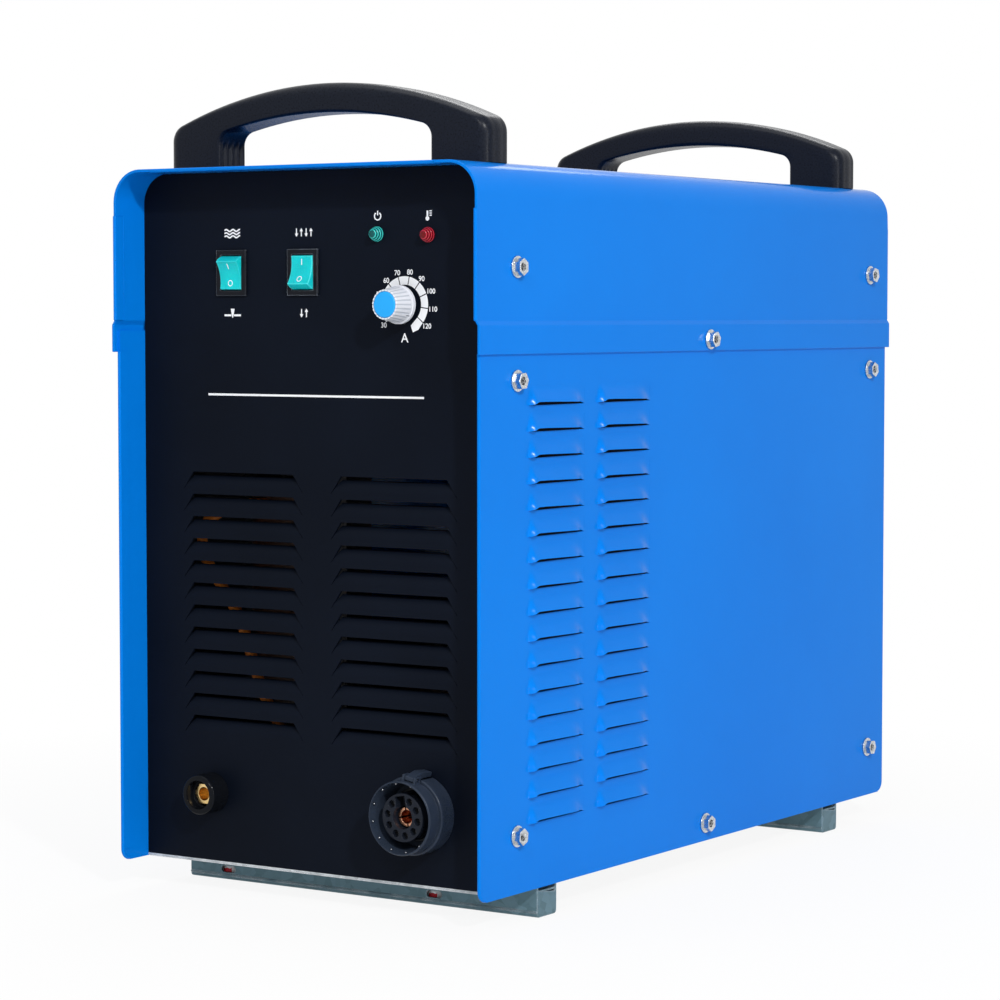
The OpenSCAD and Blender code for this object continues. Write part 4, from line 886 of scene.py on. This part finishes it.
def number_mesh(name, words, size):
    """Figures as a flat mesh with a little thickness."""
    curve = bpy.data.curves.new(name, "FONT")
    curve.body = words
    curve.size = size
    curve.align_x = "CENTER"
    curve.align_y = "CENTER"
    curve.extrude = figure_t
    curve.offset = figure_swell
    writing = bpy.data.objects.new(name, curve)
    scene.collection.objects.link(writing)
    bpy.context.view_layer.update()
    ready = writing.evaluated_get(bpy.context.evaluated_depsgraph_get())
    mesh = bpy.data.meshes.new_from_object(ready)
    bpy.data.objects.remove(writing)
    mesh.name = name
    return mesh


upright = Matrix.Rotation(math.radians(90), 4, "X")
for turn_at, figure in zip(tick_turns, amperes):
    reach = ring_out + (short_reach if figure < 100 else long_reach)
    x = (dial_x + reach * math.cos(math.radians(turn_at))) / 1000
    z = (dial_z + reach * math.sin(math.radians(turn_at))) / 1000
    put_piece("dial_%d" % figure, number_mesh("dial_%d" % figure, str(figure), figure_size), ink, "cabinet",
              Matrix.Translation((x, panel_face, z)) @ upright)
put_piece("dial_unit", number_mesh("dial_unit", "A", unit_size), ink, "cabinet",
          Matrix.Translation((dial_x / 1000, panel_face, unit_z)) @ upright)

knob_white = make_finish("Pale_moulded_plastic", grain, (0.78, 0.8, 0.84), (0.87, 0.88, 0.91),
                         (0.3, 0.42), 6e-6, Specular_IOR_Level=0.4)
knob_flutes, knob_stand, knob_skirt, flute_run_out = 24, 0.0054, 0.0036, 0.0006


def shade_flutes(finish, colour):
    """Mixes a darker colour into the bottoms of the knob's flutes, in front of its plain skirt, as painted
    shade.
    """
    tree = finish.node_tree
    spot = spot_on_piece(tree)
    across = work_out(tree, "SUBTRACT", spot["X"], dial_x / 1000)
    up = work_out(tree, "SUBTRACT", spot["Z"], dial_z / 1000)
    phase = work_out(tree, "MULTIPLY", work_out(tree, "ARCTAN2", up, across), knob_flutes)
    wave = work_out(tree, "COSINE", phase)
    flute_shade = add_node(tree, "MapRange", {"Value": wave, "From Min": 0.1, "From Max": 0.9})
    skirt_y = panel_face - knob_stand - knob_skirt
    fluted = add_node(tree, "MapRange", {"Value": spot["Y"], "From Min": skirt_y,
                                         "From Max": skirt_y - flute_run_out})
    mix_in(finish, work_out(tree, "MULTIPLY", flute_shade.outputs[0], fluted.outputs[0]), colour)


# The grey in the flutes' bottoms is painted shade
shade_flutes(knob_white, (0.56, 0.59, 0.64))
cap_blue = make_finish("Sky_blue_plastic", grain, (0.016, 0.36, 0.88), (0.022, 0.41, 0.92),
                       (0.3, 0.4), 5e-6, Specular_IOR_Level=0.25)
rounded_copy("current_knob", knob_white, 0.00018)
rounded_copy("knob_cap", cap_blue, 0.0003)

# A dark line on the knob, between two flutes, shows the setting: at rest, the highest number. It lies on
# the knob's cone, which is given in mm from the knob's rear face.
pointer_turn, pointer_depth, pointer_size = math.radians(-37.5), 4.5, (0.003, 0.0005, 0.0002)
knob_base_r, knob_tip_r, knob_cone_len, knob_cone_from = 12.1, 9.7, 14.7, 2.8
knob_lean = math.atan2(knob_base_r - knob_tip_r, knob_cone_len)
pointer_r = knob_base_r - math.tan(knob_lean) * (pointer_depth - knob_cone_from)
outwards = Vector((math.cos(pointer_turn), 0, math.sin(pointer_turn)))
forwards = Vector((0, -1, 0))
pointer_along = forwards * math.cos(knob_lean) - outwards * math.sin(knob_lean)
pointer_up = outwards * math.cos(knob_lean) + forwards * math.sin(knob_lean)
pointer_axes = Matrix((pointer_along, pointer_up.cross(pointer_along), pointer_up)).transposed().to_4x4()
pointer_at = (Vector((dial_x, panel_face * 1000, dial_z)) + outwards * pointer_r
              + forwards * (knob_stand * 1000 + pointer_depth)) / 1000
pointer_ink = make_finish("Grey_print", grain, (0.05, 0.06, 0.08), (0.09, 0.1, 0.13), (0.4, 0.55), 4e-6)
put_piece("knob_pointer", box_mesh("knob_pointer", pointer_size), pointer_ink, "current_dial",
          Matrix.Translation(pointer_at) @ pointer_axes)

brass = make_finish("Turned_brass", spangle, (0.62, 0.42, 0.16), (0.86, 0.64, 0.32), (0.16, 0.28), 6e-6,
                    {"Crystals per metre": 1200.0, "Mottle": 0.7}, Metallic=1.0)
dress("potentiometer", brass)
dress("potentiometer_shaft", bolt_zinc)


# Torch socket: a shell of black glass-filled plastic with a collar and a sleeve, an insert with nine
# nickel-plated pin ways, a split copper contact in the middle, and a latch lever on top that turns on
# a pin. It is moulded, and a nut behind the panel holds it.
socket_plastic = make_finish("Glass_filled_plastic", grain, (0.016, 0.024, 0.039), (0.034, 0.046, 0.072),
                             (0.24, 0.36), 2e-5, {"Grains per metre": 1700.0, "Clouds per metre": 40.0},
                             Specular_IOR_Level=0.12)
insert_plastic = make_finish("Insert_plastic", grain, (0.006, 0.008, 0.013), (0.013, 0.017, 0.027),
                             (0.2, 0.3), 1e-5, {"Clouds per metre": 40.0}, Specular_IOR_Level=0.12)
pin_nickel = zinc_plate("Pin_nickel", (0.16, 0.17, 0.19), (0.36, 0.37, 0.4))
copper = make_finish("Drawn_copper", spangle, (0.42, 0.2, 0.12), (0.7, 0.38, 0.25), (0.18, 0.3), 6e-6,
                     {"Crystals per metre": 900.0, "Mottle": 0.7}, Metallic=1.0)
# The socket in mm, with the ring of small studs inside its mouth
torch_x, torch_z, torch_out = 84.5, 70.4, 26.0
hollow_r, mouth_r = 21.2, 23.5
stud_count, stud_r, stud_ring_r, stud_depth, first_stud = 12, 0.8, 22.6, 2.6, 10


def flare_mouth(build):
    """Widens the mouth of the sleeve, so that its wall runs out to a thin rim."""
    depth_slack, reach_slack = 1e-4, 0.2
    mouth_y = panel_face - torch_out / 1000
    for vert in build.verts:
        x, z = vert.co.x * 1000 - torch_x, vert.co.z * 1000 - torch_z
        reach = math.hypot(x, z)
        if abs(vert.co.y - mouth_y) < depth_slack and abs(reach - hollow_r) < reach_slack:
            vert.co.x = (torch_x + x * mouth_r / reach) / 1000
            vert.co.z = (torch_z + z * mouth_r / reach) / 1000
    join_flat_faces(build)


rounded_copy("torch_socket_shell", socket_plastic, 0.0004, segments=3, reshape=flare_mouth)
rounded_copy("torch_socket_insert", insert_plastic, 0.0004, segments=3)

stud_build = bmesh.new()
for i in range(stud_count):
    stud_turn = math.radians(360 / stud_count * i + first_stud)
    stud_at = Matrix.Translation(((torch_x + stud_ring_r * math.cos(stud_turn)) / 1000,
                                  panel_face - (torch_out - stud_depth) / 1000,
                                  (torch_z + stud_ring_r * math.sin(stud_turn)) / 1000))
    bmesh.ops.create_uvsphere(stud_build, u_segments=12, v_segments=8, radius=stud_r / 1000, matrix=stud_at)
studs = mesh_from(stud_build, "torch_mouth_studs", smooth=True)
put_piece("torch_mouth_studs", studs, pin_nickel, "cabinet", Matrix())
rounded_copy("torch_latch", socket_plastic, 0.0005)
rounded_copy("torch_contact", copper, 0.0003)
rounded_copy("torch_pin_sockets", pin_nickel, 0.00012)
dress("torch_latch_pin", bolt_zinc)


# Work lead socket: a gloss black moulded barrel with a turned brass contact. Nuts behind the panel hold
# this socket and the torch socket.
socket_gloss = make_finish("Gloss_black_moulding", flow, (0.004, 0.005, 0.007), (0.007, 0.008, 0.011),
                           (0.08, 0.14), 8e-6, Specular_IOR_Level=0.08)
rounded_copy("work_socket_barrel", socket_gloss, 0.0005)
rounded_copy("work_socket_contact", brass, 0.0003)
dress("panel_nuts", bolt_zinc)


# Fan: a moulded frame and wheel of black plastic, behind a guard of plated wire rings welded to a cross.
# Four screws hold the guard and the frame to the rear panel.
fan_black = make_finish("Fan_plastic", grain, (0.010, 0.010, 0.012), (0.02, 0.02, 0.023),
                        (0.38, 0.5), 1.2e-5, Specular_IOR_Level=0.35)
wire_chrome = zinc_plate("Bright_wire", (0.6, 0.61, 0.63), (0.86, 0.87, 0.88))
rounded_copy("fan_frame", fan_black, 0.0005)
dress("fan_rotor", fan_black)
dress("fan_guard", wire_chrome)
rounded_copy("fan_screws", bolt_zinc, 0.0002)


# Rear connections: a grey moulded breaker with a blue lever, a black nylon cable gland, a turned brass
# gas inlet with its valve and rubber hose, and a brass earth stud. They sit in holes in the rear panel.
breaker_grey = make_finish("Pale_grey_moulding", grain, (0.5, 0.5, 0.48), (0.6, 0.6, 0.58),
                           (0.36, 0.46), 6e-6)
lever_blue = make_finish("Blue_lever_plastic", grain, (0.02, 0.07, 0.32), (0.03, 0.1, 0.42),
                         (0.28, 0.38), 5e-6)
hose_blue = make_finish("Hose_rubber", grain, (0.02, 0.06, 0.2), (0.03, 0.09, 0.28), (0.42, 0.55), 1e-5)
rounded_copy("breaker_body", breaker_grey, 0.0006)
rounded_copy("breaker_toggle", lever_blue, 0.0005)
rounded_copy("cable_gland", switch_black, 0.0004)
for fitting in ("gas_inlet", "earth_stud"):
    rounded_copy(fitting, brass, 0.0003)
dress("gas_valve", brass)
dress("gas_hose", hose_blue)


# Inside: the transformer, choke, heat sink, power modules, capacitors and control board on the deck,
# and the orange lead from the choke to the torch socket, which shows through the front flaps.
lead_orange = make_finish("Orange_silicone", grain, (0.9, 0.22, 0.02), (1.0, 0.32, 0.03), (0.4, 0.5), 6e-6)
core_steel = make_finish("Core_steel", spangle, (0.06, 0.06, 0.065), (0.11, 0.11, 0.115), (0.4, 0.55), 1e-5,
                         Metallic=0.7)
enamelled = make_finish("Varnished_winding", grain, (0.05, 0.018, 0.008), (0.1, 0.035, 0.014),
                        (0.28, 0.4), 2e-5)
sink_alloy = make_finish("Cast_alloy", spangle, (0.14, 0.145, 0.15), (0.24, 0.245, 0.25), (0.45, 0.6), 1e-5,
                         Metallic=0.8)
module_black = make_finish("Module_epoxy", grain, (0.012, 0.012, 0.014), (0.025, 0.025, 0.028),
                           (0.4, 0.5), 8e-6)
board_green = make_finish("Board_lacquer", grain, (0.006, 0.07, 0.035), (0.012, 0.12, 0.06),
                          (0.24, 0.36), 6e-6)
can_sleeve = make_finish("Capacitor_sleeve", grain, (0.012, 0.02, 0.06), (0.02, 0.032, 0.09),
                         (0.25, 0.35), 6e-6)
# The fibre board is a black screen by the choke, put there as painted shade so the inside shows dark behind
# the flaps and louvres
inside = {"core_steel": core_steel, "winding": enamelled, "heat_sink": sink_alloy, "module": module_black,
          "board": board_green, "capacitor": can_sleeve, "lead_orange": lead_orange,
          "fibre_board": module_black}
for node, slot in slot_of.items():
    if slot in inside:
        dress(node, inside[slot])
dress("torch_lead_lug", bolt_zinc)
